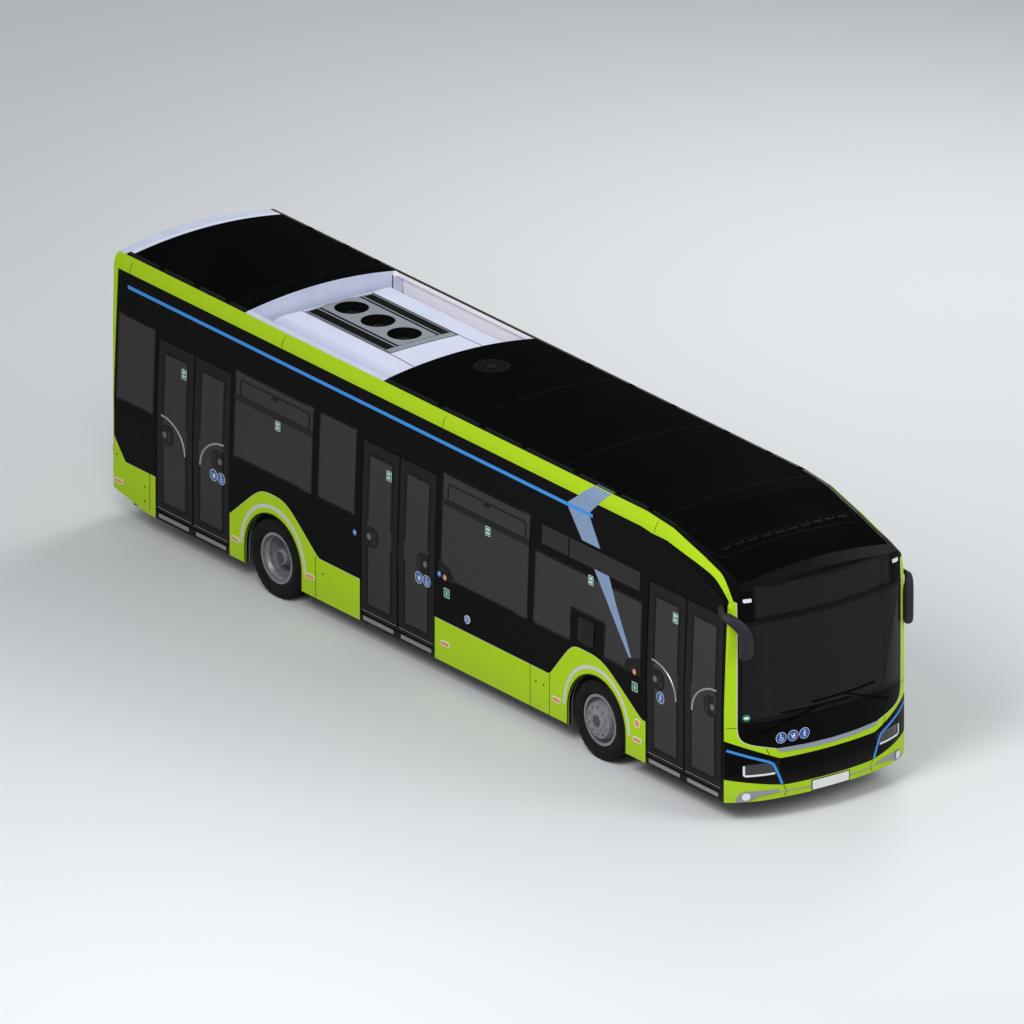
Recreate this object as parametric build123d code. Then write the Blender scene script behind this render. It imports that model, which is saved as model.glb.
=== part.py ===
from build123d import *
import os
from math import cos, sin, radians

os.makedirs("parts", exist_ok=True)

# ---------------------------------------------------------------------------
# Low-floor electric city bus, twelve metres, three inward-swinging doors.
# Millimetres.  +X forward, +Y to the driver's (left) side, +Z up.
# The origin is on the ground under the middle of the overall box.
# ---------------------------------------------------------------------------

# Overall body
LENGTH = 12185.0
WIDTH = 2550.0
CROWN_Z = 3356.0            # top of the roof covers on the centreline
SKIRT_Z = 263.0             # lower edge of the side panels
WALL = 60.0                 # side wall, with its lining and frame
GAP = 0.3                   # seat clearance between pieces that touch
SHUT = 6.0                  # open joint around flaps and bonded panes

# Heights of the body
BELT_Z = 1375.0             # side is upright below, leans in above
SEAM_Z = 2765.0             # side panels end, roof structure starts
CANT_Z = 3100.0             # foot of the cant rail curve
CANT_TOP_Z = 3262.0         # where the cant rail meets the crown
CANT_IN = 75.0              # lean of the side from belt to cant rail
CANT_TOP_IN = 200.0         # side to the crown, seen from above
ROOF_PANEL_Z = 2790.0       # under side of the structural roof
ROOF_PANEL = 50.0
FLOOR_Z = 355.0             # low floor, the same through the whole cabin
FLOOR = 50.0

# Nose and tail
NOSE_BOW = 82.0             # bow of the front over its flat part
NOSE_FLAT = 800.0           # half width of that flat part
NOSE_SIDE = 305.0           # front corner, measured back from the nose
TAIL_BOW = 34.0
TAIL_FLAT = 1100.0
TAIL_SIDE = 150.0
SCREEN_LEAN = 90.0          # windscreen leans back by this much ...
SCREEN_RISE = 1570.0        # ... over this height
SCREEN_LOW_Z = 1230.0
SCREEN_TOP_Z = 2440.0
SCREEN_HALF = 1150.0
SIGN_LOW_Z = 2462.0         # glass in front of the destination sign
SIGN_TOP_Z = 2838.0
SIGN_HALF = 967.0
NOSE_SEAM_Z = 2866.0        # front mask ends, roof starts
FALLS = (                   # roof falls towards the nose in these runs:
    (2000.0, 0.10),         # start of each, back of the nose, and its drop over its length
    (1500.0, 0.2735),
    (926.0, 0.32),
    (450.0, 0.38),
    (160.0, 1.1),
)
MASK_BACK = 327.0           # front mask reaches this far back
TAIL_BACK = 148.0           # rear wall reaches this far forward

# Axles and wheels
FRONT_OVERHANG = 2737.5
REAR_OVERHANG = 3235.5
TYRE_R = 478.5
TYRE_W = 275.0
RIM_R = 286.0
RIM_W = 210.0
TRACK_HALF = 1120.0         # centre of the front tyres
TWIN_OUTER = 1120.0         # centres of the twin rear tyres
TWIN_INNER = 805.0
KINGPIN_Y = 990.0
STEER_LOCK = 45.0
ARCH_R = 536.0              # wheel opening in the side
ARCH_FLAT_Z = 478.5
BOX_HALF = 590.0            # inner wheel box, half length
BOX_FRONT_Y = 560.0         # inner faces of the wheel boxes
BOX_REAR_Y = 600.0
BOX_TOP_Z = 1110.0
BOX_SHEET = 20.0

# Doors on the right side, each with two leaves that swing inwards
DOOR_W = 1432.0             # clear width of the body aperture
DOOR_FRONT = 1087.5         # centre, back from the nose
DOOR_REAR = 1665.5          # centre, forward from the tail
DOOR_MIDDLE = -708.0        # centre, from half way between the axles
DOOR_TOP_Z = 2503.0         # lower edge of the outer header skin
HEADER_Z = 2540.0           # soffit behind that skin
HEADER_SKIN = 14.0
SILL_Z = 349.0
LEAF_Z0 = 400.0
LEAF_Z1 = 2488.0
LEAF_T = 42.0
LEAF_FLUSH = 4.0            # leaf lies this far inside the body skin
LEAF_EDGE = 9.0             # running gap from leaf to jamb
LEAF_MEET = 14.0            # gap between the two leaves
LEAF_FRAME = 118.0          # frame beside the glass
LEAF_GLASS_Z0 = 486.0
LEAF_GLASS_Z1 = 2355.0
PANE = 8.0                  # thickness of every pane
PIVOT_Y = 1195.0            # vertical plane of the leaf pivots
POST_BACK = 37.0            # post axis beyond the leaf edge
POST_IN = 60.0              # post axis inboard of the leaf pivot
POST_R = 18.0
ARM_T = 22.0
ARM_R = 14.0
PIN_R = 9.0
PIN_FIT = 0.4
PIN_L = 18.0
DOOR_SWING = 87.0

# Side glass: edges that do not follow from doors or axles
GLASS_TOP_Z = 2575.0
GLASS_Z = 1514.0            # lower edge of the high panes
GLASS_LOW_Z = 1300.0        # lower edge of the deep panes
GLASS_LAP = 45.0            # pane laps over the wall around its opening
GLASS_PILLAR = 105.0        # between two neighbouring panes
GLASS_R = 45.0

# Charging inlet above the front right wheel
FLAP_W = 314.0
FLAP_H = 314.0
FLAP_BACK = 217.0           # centre of the flap behind the front axle
FLAP_Z = 1494.0             # centre of the flap
FLAP_R = 60.0
FLAP_OPEN = 110.0
HINGE_R = 4.5
INLET_R = 33.0

HALF_L = LENGTH / 2
HALF_W = WIDTH / 2
FRONT_AXLE = HALF_L - FRONT_OVERHANG
REAR_AXLE = -HALF_L + REAR_OVERHANG
MASK_X = HALF_L - MASK_BACK
TAIL_X = -HALF_L + TAIL_BACK
DOORS = {
    "rear": -HALF_L + DOOR_REAR,
    "middle": (FRONT_AXLE + REAR_AXLE) / 2 + DOOR_MIDDLE,
    "front": HALF_L - DOOR_FRONT,
}
FAR = 2 * LENGTH


def write(name, *solids):
    """Writes one node: a single solid, or like solids that do not touch."""
    flat = []
    for shape in solids:
        flat += list(shape.solids())
    export_step(Compound(children=flat) if len(flat) > 1 else flat[0], f"parts/{name}.step")


def block(x, y, z):
    """Box from its limits along each axis."""
    size = Box(x[1] - x[0], y[1] - y[0], z[1] - z[0])
    return Pos(sum(x) / 2, sum(y) / 2, sum(z) / 2) * size


def rod(start, end, radius):
    """Round bar between two points."""
    run = Vector(*end) - Vector(*start)
    return extrude(Plane(origin=start, z_dir=run) * Circle(radius), run.length)


def mirrored(shape):
    return mirror(shape, about=Plane.XZ)


# ---------------------------------------------------------------------------
# Outer form: cross-section, plan and sloping nose swept into one closed form.
# Every panel, pane and cover of the body is cut out of it between two depths.
# ---------------------------------------------------------------------------

def inward(x, y, heading, depth):
    """Point moved in by a depth against the outward heading, in degrees from +X."""
    return (x - depth * cos(radians(heading)), y - depth * sin(radians(heading)))


def section(depth, low_z, flare=0.0):
    """Body cross-section in Y and Z, drawn in by a depth.

    With a flare the sides open out below the cant rail, so that only the roof cuts.
    """
    bulge = 6.0
    foot = (HALF_W - depth + flare, low_z)
    belt = (HALF_W - depth + flare, BELT_Z)
    middle = inward(HALF_W - CANT_IN / 2 + bulge, (BELT_Z + CANT_Z) / 2, 2, depth)
    cant = inward(HALF_W - CANT_IN, CANT_Z, 10, depth)
    shoulder = inward(HALF_W - CANT_IN - 35, CANT_Z + 105, 42, depth)
    top = inward(HALF_W - CANT_TOP_IN, CANT_TOP_Z, 72, depth)
    if flare:
        half = [Line(foot, (foot[0], CANT_Z - 4 * flare)), Line((foot[0], CANT_Z - 4 * flare), cant)]
    else:
        half = [Line(foot, belt), ThreePointArc(belt, middle, cant)]
    half.append(ThreePointArc(cant, shoulder, top))
    crown = ThreePointArc(top, (0, CROWN_Z - depth), (-top[0], top[1]))
    other = [mirror(edge, about=Plane.YZ) for edge in half]
    return make_face(Curve() + half + [crown] + other + [Line((-foot[0], low_z), foot)])


def plan(depth, tail=0.0, square=0.0):
    """Body outline seen from above, drawn in by a depth.

    The tail can be set back, and the front corners made squarer, by a distance.
    """
    rear_x = -HALF_L - tail
    nose = inward(HALF_L, 0, 0, depth)
    bow = inward(HALF_L - NOSE_BOW, NOSE_FLAT, 17, depth)
    corner = inward(HALF_L - 0.55 * NOSE_SIDE + 0.7 * square, NOSE_FLAT + 252, 38, depth)
    side = (inward(HALF_L - NOSE_SIDE + square, 0, 28, depth)[0], HALF_W - depth)
    tail_side = (rear_x + TAIL_SIDE + 0.35 * depth, HALF_W - depth)
    tail_corner = inward(rear_x + 0.48 * TAIL_SIDE, HALF_W - 36, 133, depth)
    tail_flat = inward(rear_x + TAIL_BOW, TAIL_FLAT, 160, depth)
    end = inward(rear_x, 0, 180, depth)
    wide = 50.0     # the outline passes the sides by this much, so that only its ends cut
    clear_nose = (side[0] - 0.6 * (wide + depth), HALF_W + wide)
    clear_tail = (tail_side[0] + wide + depth, HALF_W + wide)
    half = [
        ThreePointArc(bow, corner, side),
        Line(side, clear_nose),
        Line(clear_nose, clear_tail),
        Line(clear_tail, tail_side),
        ThreePointArc(tail_side, tail_corner, tail_flat),
    ]
    other = [mirror(edge, about=Plane.XZ) for edge in half]
    bows = [
        ThreePointArc((bow[0], -bow[1]), nose, bow),
        ThreePointArc((tail_flat[0], -tail_flat[1]), end, tail_flat),
    ]
    return make_face(Curve() + half + other + bows)


def nose_roof(depth):
    """Falling roof of the nose: the upright section carried forward down each run in turn."""
    level = 0.0
    shape = None
    ends = [back for back, drop in FALLS[1:]] + [-300.0]
    for (back, drop), end in zip(FALLS, ends):
        start = Plane(origin=(HALF_L - back, 0, -level), x_dir=(0, 1, 0), z_dir=(1, 0, 0))
        run = Vector(back - end, 0, -drop * (back - end))
        piece = extrude(start * section(depth, -CROWN_Z, flare=60.0), run.length, dir=run.normalized())
        shape = piece if shape is None else shape + piece
        level -= run.Z
    return shape


def make_form(depth):
    straight = extrude(Plane.YZ.offset(-HALF_L) * section(depth, SKIRT_Z - 4 * depth), LENGTH)
    start = HALF_L - FALLS[0][0]
    fore = straight & block((start, FAR), (-FAR, FAR), (-FAR, FAR))
    aft = straight & block((-FAR, start), (-FAR, FAR), (-FAR, FAR))
    shape = aft + (fore & nose_roof(depth))
    shape &= extrude(plan(depth), CROWN_Z + 100)
    base = -600.0
    lean = SCREEN_LEAN / SCREEN_RISE
    shift = (SCREEN_LOW_Z - base) * lean
    leaning = Plane(origin=(shift, 0, base)) * plan(depth, tail=500.0, square=0.85 * SCREEN_LEAN)
    shape &= extrude(leaning, 1.5 * CROWN_Z, dir=Vector(-lean, 0, 1).normalized())
    return shape.solids()[0]


FORMS = {}


def form(depth):
    """The body form drawn in by a depth, made once for each depth."""
    if depth not in FORMS:
        FORMS[depth] = make_form(depth)
    return FORMS[depth]


SKINS = {}


def skin(outer, inner):
    """Layer of the body between two depths, made once for each pair."""
    if (outer, inner) not in SKINS:
        SKINS[outer, inner] = form(outer) - form(inner)
    return SKINS[outer, inner]


def rounded(w, h, r):
    return RectangleRounded(w, h, r) if r else Rectangle(w, h)


def side_prism(x, z, side, r=0.0, grow=0.0, inner=0.0):
    """Block through one side of the body; side is -1 for right, +1 for left."""
    w = x[1] - x[0] + 2 * grow
    h = z[1] - z[0] + 2 * grow
    plane = Plane(origin=(sum(x) / 2, side * inner, sum(z) / 2), x_dir=(1, 0, 0), z_dir=(0, side, 0))
    return extrude(plane * rounded(w, h, r), WIDTH)


def nose_prism(half, z, r, sign=1, start=0.0):
    """Block through the nose, or through the tail when sign is -1."""
    plane = Plane(origin=(sign * start, 0, sum(z) / 2), x_dir=(0, 1, 0), z_dir=(sign, 0, 0))
    return extrude(plane * rounded(2 * half, z[1] - z[0], r), LENGTH)


# ---------------------------------------------------------------------------
# Doors: places of the apertures, leaves, posts and pivots
# ---------------------------------------------------------------------------
LEAF_W = (DOOR_W - 2 * LEAF_EDGE - LEAF_MEET) / 2
CRANK = LEAF_W / 2 + POST_BACK      # from the post to the leaf pivot, along the door


def door_span(name):
    return (DOORS[name] - DOOR_W / 2, DOORS[name] + DOOR_W / 2)


def leaf_places():
    """Yields name, hand and X of the leaf edge, leaf pivot and post of all six leaves."""
    for name in DOORS:
        low, high = door_span(name)
        for hand, word, jamb in ((1, "rear", low), (-1, "front", high)):
            edge = jamb + hand * LEAF_EDGE
            yield f"{name}_door_{word}", hand, edge, edge + hand * LEAF_W / 2, edge - hand * POST_BACK


# ---------------------------------------------------------------------------
# Side glass
# ---------------------------------------------------------------------------
front_door = door_span("front")
middle_door = door_span("middle")
rear_door = door_span("rear")
glass_top = GLASS_TOP_Z
bay = (middle_door[1] + GLASS_PILLAR, front_door[0] - GLASS_PILLAR)
bay_split = bay[0] + 0.44 * (bay[1] - bay[0])
RIGHT_PANES = [
    ((TAIL_X + 20, rear_door[0] - 60), (GLASS_Z, glass_top)),
    ((rear_door[1] + 70, rear_door[1] + 0.63 * (middle_door[0] - rear_door[1])), (GLASS_Z, glass_top)),
    ((rear_door[1] + 0.63 * (middle_door[0] - rear_door[1]) + GLASS_PILLAR, middle_door[0] - GLASS_PILLAR),
     (GLASS_Z, glass_top)),
    ((bay[0], bay_split), (GLASS_LOW_Z, glass_top)),
    ((bay_split + GLASS_PILLAR, bay[1]), (GLASS_LOW_Z, 2190.0)),
]
LEFT_BAYS = 6
left_low = TAIL_X + 20
left_high = FRONT_AXLE + 850
left_pitch = (left_high - left_low) / LEFT_BAYS
LEFT_PANES = [
    ((left_low + i * left_pitch, left_low + (i + 1) * left_pitch - GLASS_PILLAR), (GLASS_LOW_Z, glass_top))
    for i in range(LEFT_BAYS)
]
LEFT_PANES.append(((left_high, MASK_X - 200), (GLASS_LOW_Z, glass_top)))


def arch(axle, side, grow=0.0, inner=0.0):
    """Wheel opening: half round above the hub, straight down below it."""
    r = ARCH_R + grow
    plane = Plane(origin=(axle, side * inner, ARCH_FLAT_Z), x_dir=(1, 0, 0), z_dir=(0, side, 0))
    return extrude(plane * (Circle(r) + Pos(0, -r / 2) * Rectangle(2 * r, r)), WIDTH)


flap_x = FRONT_AXLE - FLAP_BACK
flap_span = (flap_x - FLAP_W / 2, flap_x + FLAP_W / 2)
flap_rise = (FLAP_Z - FLAP_H / 2, FLAP_Z + FLAP_H / 2)
tail_cut = Plane.XZ.offset(-WIDTH) * make_face(Polyline(
    (-HALF_L - 50, 0), (-HALF_L + 800, 0), (-HALF_L + 800, SKIRT_Z),
    (-HALF_L - 50, SKIRT_Z + 0.184 * 850), close=True))
tail_cut = extrude(tail_cut, 2 * WIDTH)


def side_wall(side, panes):
    """One side from tail to nose: apertures, arches and rebates for bonded panes."""
    zone = block((TAIL_X + GAP, MASK_X - GAP), (0, HALF_W + 10), (SKIRT_Z, SEAM_Z - GAP))
    zone = zone if side > 0 else mirrored(zone)
    wall = (skin(0, WALL) & zone) - tail_cut
    for x, z in panes:
        inside = ((x[0] + GLASS_LAP, x[1] - GLASS_LAP), (z[0] + GLASS_LAP, z[1] - GLASS_LAP))
        wall -= side_prism(*inside, side, GLASS_R, inner=HALF_W / 2)
        wall -= skin(0, PANE + GAP) & side_prism(x, z, side, GLASS_R, grow=GAP, inner=HALF_W / 2)
    for axle in (FRONT_AXLE, REAR_AXLE):
        wall -= arch(axle, side, inner=HALF_W / 2)
    return wall


def panes_of(side, panes):
    glass = []
    for x, z in panes:
        pane = skin(0, PANE) & side_prism(x, z, side, GLASS_R, inner=HALF_W / 2)
        glass.append(pane)
    return glass


# The charging inlet sits in front of the last right pane, so that pane is notched
notch = side_prism((flap_span[0] - 128, flap_span[1] + 200), (flap_rise[0] - 400, flap_rise[1] + 63),
                   -1, 0, inner=HALF_W / 2)
right_wall = side_wall(-1, RIGHT_PANES)
housing = (skin(0, WALL) & side_prism((flap_span[0] - 128 + GAP, flap_span[1] + 200 - GAP),
                                      (GLASS_LOW_Z - 2, flap_rise[1] + 63 - GAP), -1, inner=HALF_W / 2))
right_wall = right_wall + housing
for name in DOORS:
    low, high = door_span(name)
    right_wall -= side_prism((low, high), (SILL_Z, DOOR_TOP_Z), -1, inner=HALF_W / 2)
    soffit = side_prism((low, high), (DOOR_TOP_Z - 1, HEADER_Z), -1, inner=HALF_W / 2)
    right_wall -= soffit & form(HEADER_SKIN)
mouth = side_prism(flap_span, flap_rise, -1, FLAP_R, grow=SHUT, inner=HALF_W / 2)
right_wall -= skin(0, 30.0) & mouth
inlet_y = -(HALF_W - 30)
inlet_bore = rod((flap_x, -HALF_W - 10, FLAP_Z), (flap_x, inlet_y + 30, FLAP_Z), INLET_R)
right_wall -= inlet_bore
hinge_x = flap_span[1] + SHUT
hinge_y = -HALF_W - 2
third = (FLAP_H - 2 * FLAP_R) / 3
knuckle_z = (FLAP_Z - third / 2, FLAP_Z + third / 2)
for way in (-1, 1):
    near = FLAP_Z + way * (third / 2 + GAP)
    right_wall += rod((hinge_x, hinge_y, near), (hinge_x, hinge_y, near + way * third), HINGE_R)
write("right_side_wall", right_wall)

left_wall = side_wall(1, LEFT_PANES)
write("left_side_wall", left_wall)

right_glass = [pane - notch for pane in panes_of(-1, RIGHT_PANES)]
write("side_windows", *right_glass, *panes_of(1, LEFT_PANES))

# Flap with its hinge knuckle; the outer knuckles belong to the wall
flap = skin(1.0, 1.0 + 16) & side_prism(flap_span, flap_rise, -1, FLAP_R, inner=HALF_W / 2)
flap += block((hinge_x - 12, hinge_x), (hinge_y - 2, hinge_y + 8), knuckle_z)
flap += rod((hinge_x, hinge_y, knuckle_z[0]), (hinge_x, hinge_y, knuckle_z[1]), HINGE_R)
write("charging_flap", flap)

# ---------------------------------------------------------------------------
# Nose: mask with screen and sign glass, bumper, lamps
# ---------------------------------------------------------------------------
BUMPER_Z = 520.0
LAMP_Y = (700.0, 1105.0)
LAMP_Z = (560.0, 716.0)
LAMP_DEPTH = 50.0
mask = skin(0, WALL) & block((MASK_X, HALF_L + 10), (-HALF_W, HALF_W), (BUMPER_Z + GAP, NOSE_SEAM_Z - GAP))
screen = nose_prism(SCREEN_HALF, (SCREEN_LOW_Z, SCREEN_TOP_Z), 60.0, start=MASK_X)
sign = nose_prism(SIGN_HALF, (SIGN_LOW_Z, SIGN_TOP_Z), 40.0, start=MASK_X)
screen_glass = skin(0, PANE) & screen
sign_glass = skin(0, PANE) & sign
mask -= skin(0, PANE + GAP) & nose_prism(SCREEN_HALF + GAP, (SCREEN_LOW_Z - GAP, SCREEN_TOP_Z + GAP),
                                         60.0, start=MASK_X)
mask -= skin(0, PANE + GAP) & nose_prism(SIGN_HALF + GAP, (SIGN_LOW_Z - GAP, SIGN_TOP_Z + GAP),
                                         40.0, start=MASK_X)
mask -= nose_prism(SCREEN_HALF - GLASS_LAP, (SCREEN_LOW_Z + GLASS_LAP, SCREEN_TOP_Z - GLASS_LAP),
                   40.0, start=MASK_X - 10)
mask -= nose_prism(SIGN_HALF - GLASS_LAP, (SIGN_LOW_Z + GLASS_LAP, SIGN_TOP_Z - GLASS_LAP),
                   30.0, start=MASK_X - 10)
lamps = []
for side in (-1, 1):
    span = (side * LAMP_Y[0], side * LAMP_Y[1])
    span = (min(span), max(span))
    room = block((MASK_X + 20, HALF_L + 10), (span[0] - GAP, span[1] + GAP), (LAMP_Z[0] - GAP, LAMP_Z[1] + GAP))
    mask -= skin(0, LAMP_DEPTH + GAP) & room
    lamps.append(skin(2, LAMP_DEPTH) & block((MASK_X + 20, HALF_L + 10), span, LAMP_Z))
write("front_mask", mask)
write("windscreen", screen_glass, sign_glass)
bumper = skin(0, WALL) & block((MASK_X, HALF_L + 10), (-HALF_W, HALF_W), (SKIRT_Z, BUMPER_Z - GAP))
write("front_bumper", bumper)

# ---------------------------------------------------------------------------
# Tail: rear wall with its window, tail lamps
# ---------------------------------------------------------------------------
REAR_GLASS_Z = (1500.0, 2480.0)
REAR_GLASS_HALF = 1010.0
TAIL_LAMP_Y = (1030.0, 1190.0)
TAIL_LAMP_Z = (760.0, 1290.0)
rear = skin(0, WALL) & block((-HALF_L - 10, TAIL_X), (-HALF_W, HALF_W), (SKIRT_Z, SEAM_Z - GAP))
rear -= tail_cut
rear_glass = skin(0, PANE) & nose_prism(REAR_GLASS_HALF, REAR_GLASS_Z, 60.0, -1, start=-TAIL_X)
rear -= skin(0, PANE + GAP) & nose_prism(REAR_GLASS_HALF + GAP, (REAR_GLASS_Z[0] - GAP, REAR_GLASS_Z[1] + GAP),
                                         60.0, -1, start=-TAIL_X)
rear -= nose_prism(REAR_GLASS_HALF - GLASS_LAP, (REAR_GLASS_Z[0] + GLASS_LAP, REAR_GLASS_Z[1] - GLASS_LAP),
                   40.0, -1, start=-TAIL_X - 10)
for side in (-1, 1):
    span = (side * TAIL_LAMP_Y[0], side * TAIL_LAMP_Y[1])
    span = (min(span), max(span))
    room = block((-HALF_L - 10, TAIL_X), (span[0] - GAP, span[1] + GAP),
                 (TAIL_LAMP_Z[0] - GAP, TAIL_LAMP_Z[1] + GAP))
    rear -= skin(0, LAMP_DEPTH + GAP) & room
    lamps.append(skin(2, LAMP_DEPTH) & block((-HALF_L - 10, TAIL_X), span, TAIL_LAMP_Z))
BUFFER_Y = (420.0, 900.0)   # rubber buffers moulded into the foot of the tail
BUFFER_Z = (455.0, 545.0)
BUFFER_OUT = 23.0           # they stand this far out, as the wipers do at the nose
for side in (-1, 1):
    span = sorted((side * BUFFER_Y[0], side * BUFFER_Y[1]))
    rear += block((-HALF_L - BUFFER_OUT, TAIL_X - WALL), span, BUFFER_Z)
write("rear_wall", rear)
write("rear_window", rear_glass)
write("lamps", *lamps)

# ---------------------------------------------------------------------------
# Roof: one tray-shaped structure, black covers, battery packs, air conditioner
# ---------------------------------------------------------------------------
COVER_HALF = 1050.0         # covers reach this far from the centreline
COVER_T = 30.0
TRAY_HALF = 1000.0          # clear half width between the cant rails
REAR_COVER_BACK = 165.0     # rear cover starts this far from the tail
WELL = (FRONT_AXLE - 6955.0, FRONT_AXLE - 4300.0)   # air conditioner well
COVER_FRONT = HALF_L - 330.0
tray_floor = ROOF_PANEL_Z + ROOF_PANEL
roof = form(0) & (block((-FAR, MASK_X - GAP), (-FAR, FAR), (SEAM_Z, FAR))
                  + block((MASK_X - 2 * GAP, FAR), (-FAR, FAR), (NOSE_SEAM_Z, FAR)))
cabin_top = form(WALL) & block((-FAR, HALF_L - 1500), (-FAR, FAR), (0, ROOF_PANEL_Z))
roof -= cabin_top
nose_top = form(WALL) & block((HALF_L - 1501, FAR), (-FAR, FAR), (0, ROOF_PANEL_Z - 40))
roof -= nose_top
tray_front = HALF_L - 1260.0
tray_x = (-HALF_L + 200, tray_front)
mouth_block = block(tray_x, (-TRAY_HALF, TRAY_HALF), (tray_floor, FAR))
roof -= form(COVER_T) & mouth_block
roof -= form(WALL + GAP) & block(tray_x, (-HALF_W, HALF_W), (tray_floor, FAR))
covers = []
well_gap = 6.0
for x in ((-HALF_L + REAR_COVER_BACK, WELL[0] - well_gap), (WELL[1] + well_gap, COVER_FRONT)):
    zone = block(x, (-COVER_HALF, COVER_HALF), (tray_floor, FAR))
    rebate = block((x[0] - GAP, x[1] + GAP), (-COVER_HALF - GAP, COVER_HALF + GAP), (tray_floor, FAR))
    cover = (skin(0, COVER_T) & zone)
    covers.append(cover)
    roof -= skin(0, COVER_T + GAP) & rebate
open_well = form(0) & block(WELL, (-COVER_HALF, COVER_HALF), (tray_floor + 150, FAR))
roof -= open_well
BULKHEAD = 30.0
for face, way in ((WELL[0] - well_gap, -1), (WELL[1] + well_gap, 1)):
    span = sorted((face, face + way * BULKHEAD))
    roof += form(COVER_T + GAP) & block(span, (-TRAY_HALF - 1, TRAY_HALF + 1), (tray_floor - 1, FAR))
write("roof_shell", roof)
write("roof_covers", *covers)

PACK_W = 1700.0
PACK_H = 330.0
PACKS_REAR = 2
PACKS_FRONT = 4
packs = []
for (x0, x1), count in (((-HALF_L + 260, WELL[0] - 60), PACKS_REAR), ((WELL[1] + 60, tray_front - 400), PACKS_FRONT)):
    pitch = (x1 - x0) / count
    for i in range(count):
        packs.append(block((x0 + i * pitch, x0 + (i + 1) * pitch - 60), (-PACK_W / 2, PACK_W / 2),
                           (tray_floor + GAP, tray_floor + GAP + PACK_H)))
write("battery_packs", *packs)

AC_HALF = 860.0
AC_TOP_Z = 3225.0
AC_CROWN = 22.0
FAN_R = 200.0
FAN_PITCH = 510.0
FAN_BACK = 1052.0           # middle fan from the rear edge of the well
AC_END_R = 160.0            # its ends are rounded off by this
ac_x = (WELL[0] + 150, WELL[1] - 40)
fan_mid = WELL[0] + FAN_BACK
ac_low = tray_floor + GAP
profile = make_face(Curve() + [
    Line((-AC_HALF, ac_low), (AC_HALF, ac_low)),
    Line((AC_HALF, ac_low), (AC_HALF, AC_TOP_Z - 150)),
    ThreePointArc((AC_HALF, AC_TOP_Z - 150), (AC_HALF - 50, AC_TOP_Z - 45), (AC_HALF - 170, AC_TOP_Z - AC_CROWN)),
    ThreePointArc((AC_HALF - 170, AC_TOP_Z - AC_CROWN), (0, AC_TOP_Z), (170 - AC_HALF, AC_TOP_Z - AC_CROWN)),
    ThreePointArc((170 - AC_HALF, AC_TOP_Z - AC_CROWN), (50 - AC_HALF, AC_TOP_Z - 45), (-AC_HALF, AC_TOP_Z - 150)),
    Line((-AC_HALF, AC_TOP_Z - 150), (-AC_HALF, ac_low)),
])
ac = extrude(Plane.YZ.offset(ac_x[0]) * profile, ac_x[1] - ac_x[0])
ends = make_face(Curve() + [
    Line((ac_x[0], ac_low), (ac_x[1], ac_low)),
    Line((ac_x[1], ac_low), (ac_x[1], AC_TOP_Z - AC_END_R)),
    ThreePointArc((ac_x[1], AC_TOP_Z - AC_END_R), (ac_x[1] - 0.3 * AC_END_R, AC_TOP_Z - 0.3 * AC_END_R),
                  (ac_x[1] - AC_END_R, AC_TOP_Z)),
    Line((ac_x[1] - AC_END_R, AC_TOP_Z), (ac_x[0] + AC_END_R, AC_TOP_Z)),
    ThreePointArc((ac_x[0] + AC_END_R, AC_TOP_Z), (ac_x[0] + 0.3 * AC_END_R, AC_TOP_Z - 0.3 * AC_END_R),
                  (ac_x[0], AC_TOP_Z - AC_END_R)),
    Line((ac_x[0], AC_TOP_Z - AC_END_R), (ac_x[0], ac_low)),
])
ac &= extrude(Plane.XZ.offset(-WIDTH / 2) * ends, WIDTH)
fans = [Pos(fan_mid + i * FAN_PITCH, 0, 0) for i in (-1, 0, 1)]
for spot in fans:
    ac -= spot * Pos(0, 0, AC_TOP_Z - 60) * Cylinder(FAN_R, 240)
    ac += spot * Pos(0, 0, AC_TOP_Z - 130) * Cylinder(70, 120)
    for k in range(6):
        blade = Pos(FAN_R / 2 - 1, 0, AC_TOP_Z - 110) * Rot(30, 0, 0) * Box(FAN_R + 4, 60, 6)
        ac += spot * Rot(0, 0, 60 * k) * blade
write("air_conditioner", ac)

# ---------------------------------------------------------------------------
# Floor, wheel boxes, chassis frame
# ---------------------------------------------------------------------------
floor_low = FLOOR_Z - FLOOR
floor = form(WALL + GAP) & block((-FAR, HALF_L - 230), (-FAR, FAR), (floor_low, FLOOR_Z))
for axle, inner in ((FRONT_AXLE, BOX_FRONT_Y), (REAR_AXLE, BOX_REAR_Y)):
    for side in (-1, 1):
        room = block((axle - BOX_HALF, axle + BOX_HALF), (inner, FAR), (0, FAR))
        floor -= room if side > 0 else mirrored(room)
floor -= tail_cut
write("cabin_floor", floor)

boxes = []
for axle, inner in ((FRONT_AXLE, BOX_FRONT_Y), (REAR_AXLE, BOX_REAR_Y)):
    outer_x = (axle - BOX_HALF + GAP, axle + BOX_HALF - GAP)
    room = block(outer_x, (inner + GAP, FAR), (floor_low, BOX_TOP_Z)) & form(WALL + GAP)
    s = BOX_SHEET
    hollow = block((outer_x[0] + s, outer_x[1] - s), (inner + GAP + s, FAR), (0, BOX_TOP_Z - s))
    box = room - hollow
    boxes += [box, mirrored(box)]
write("wheel_boxes", *boxes)

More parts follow.
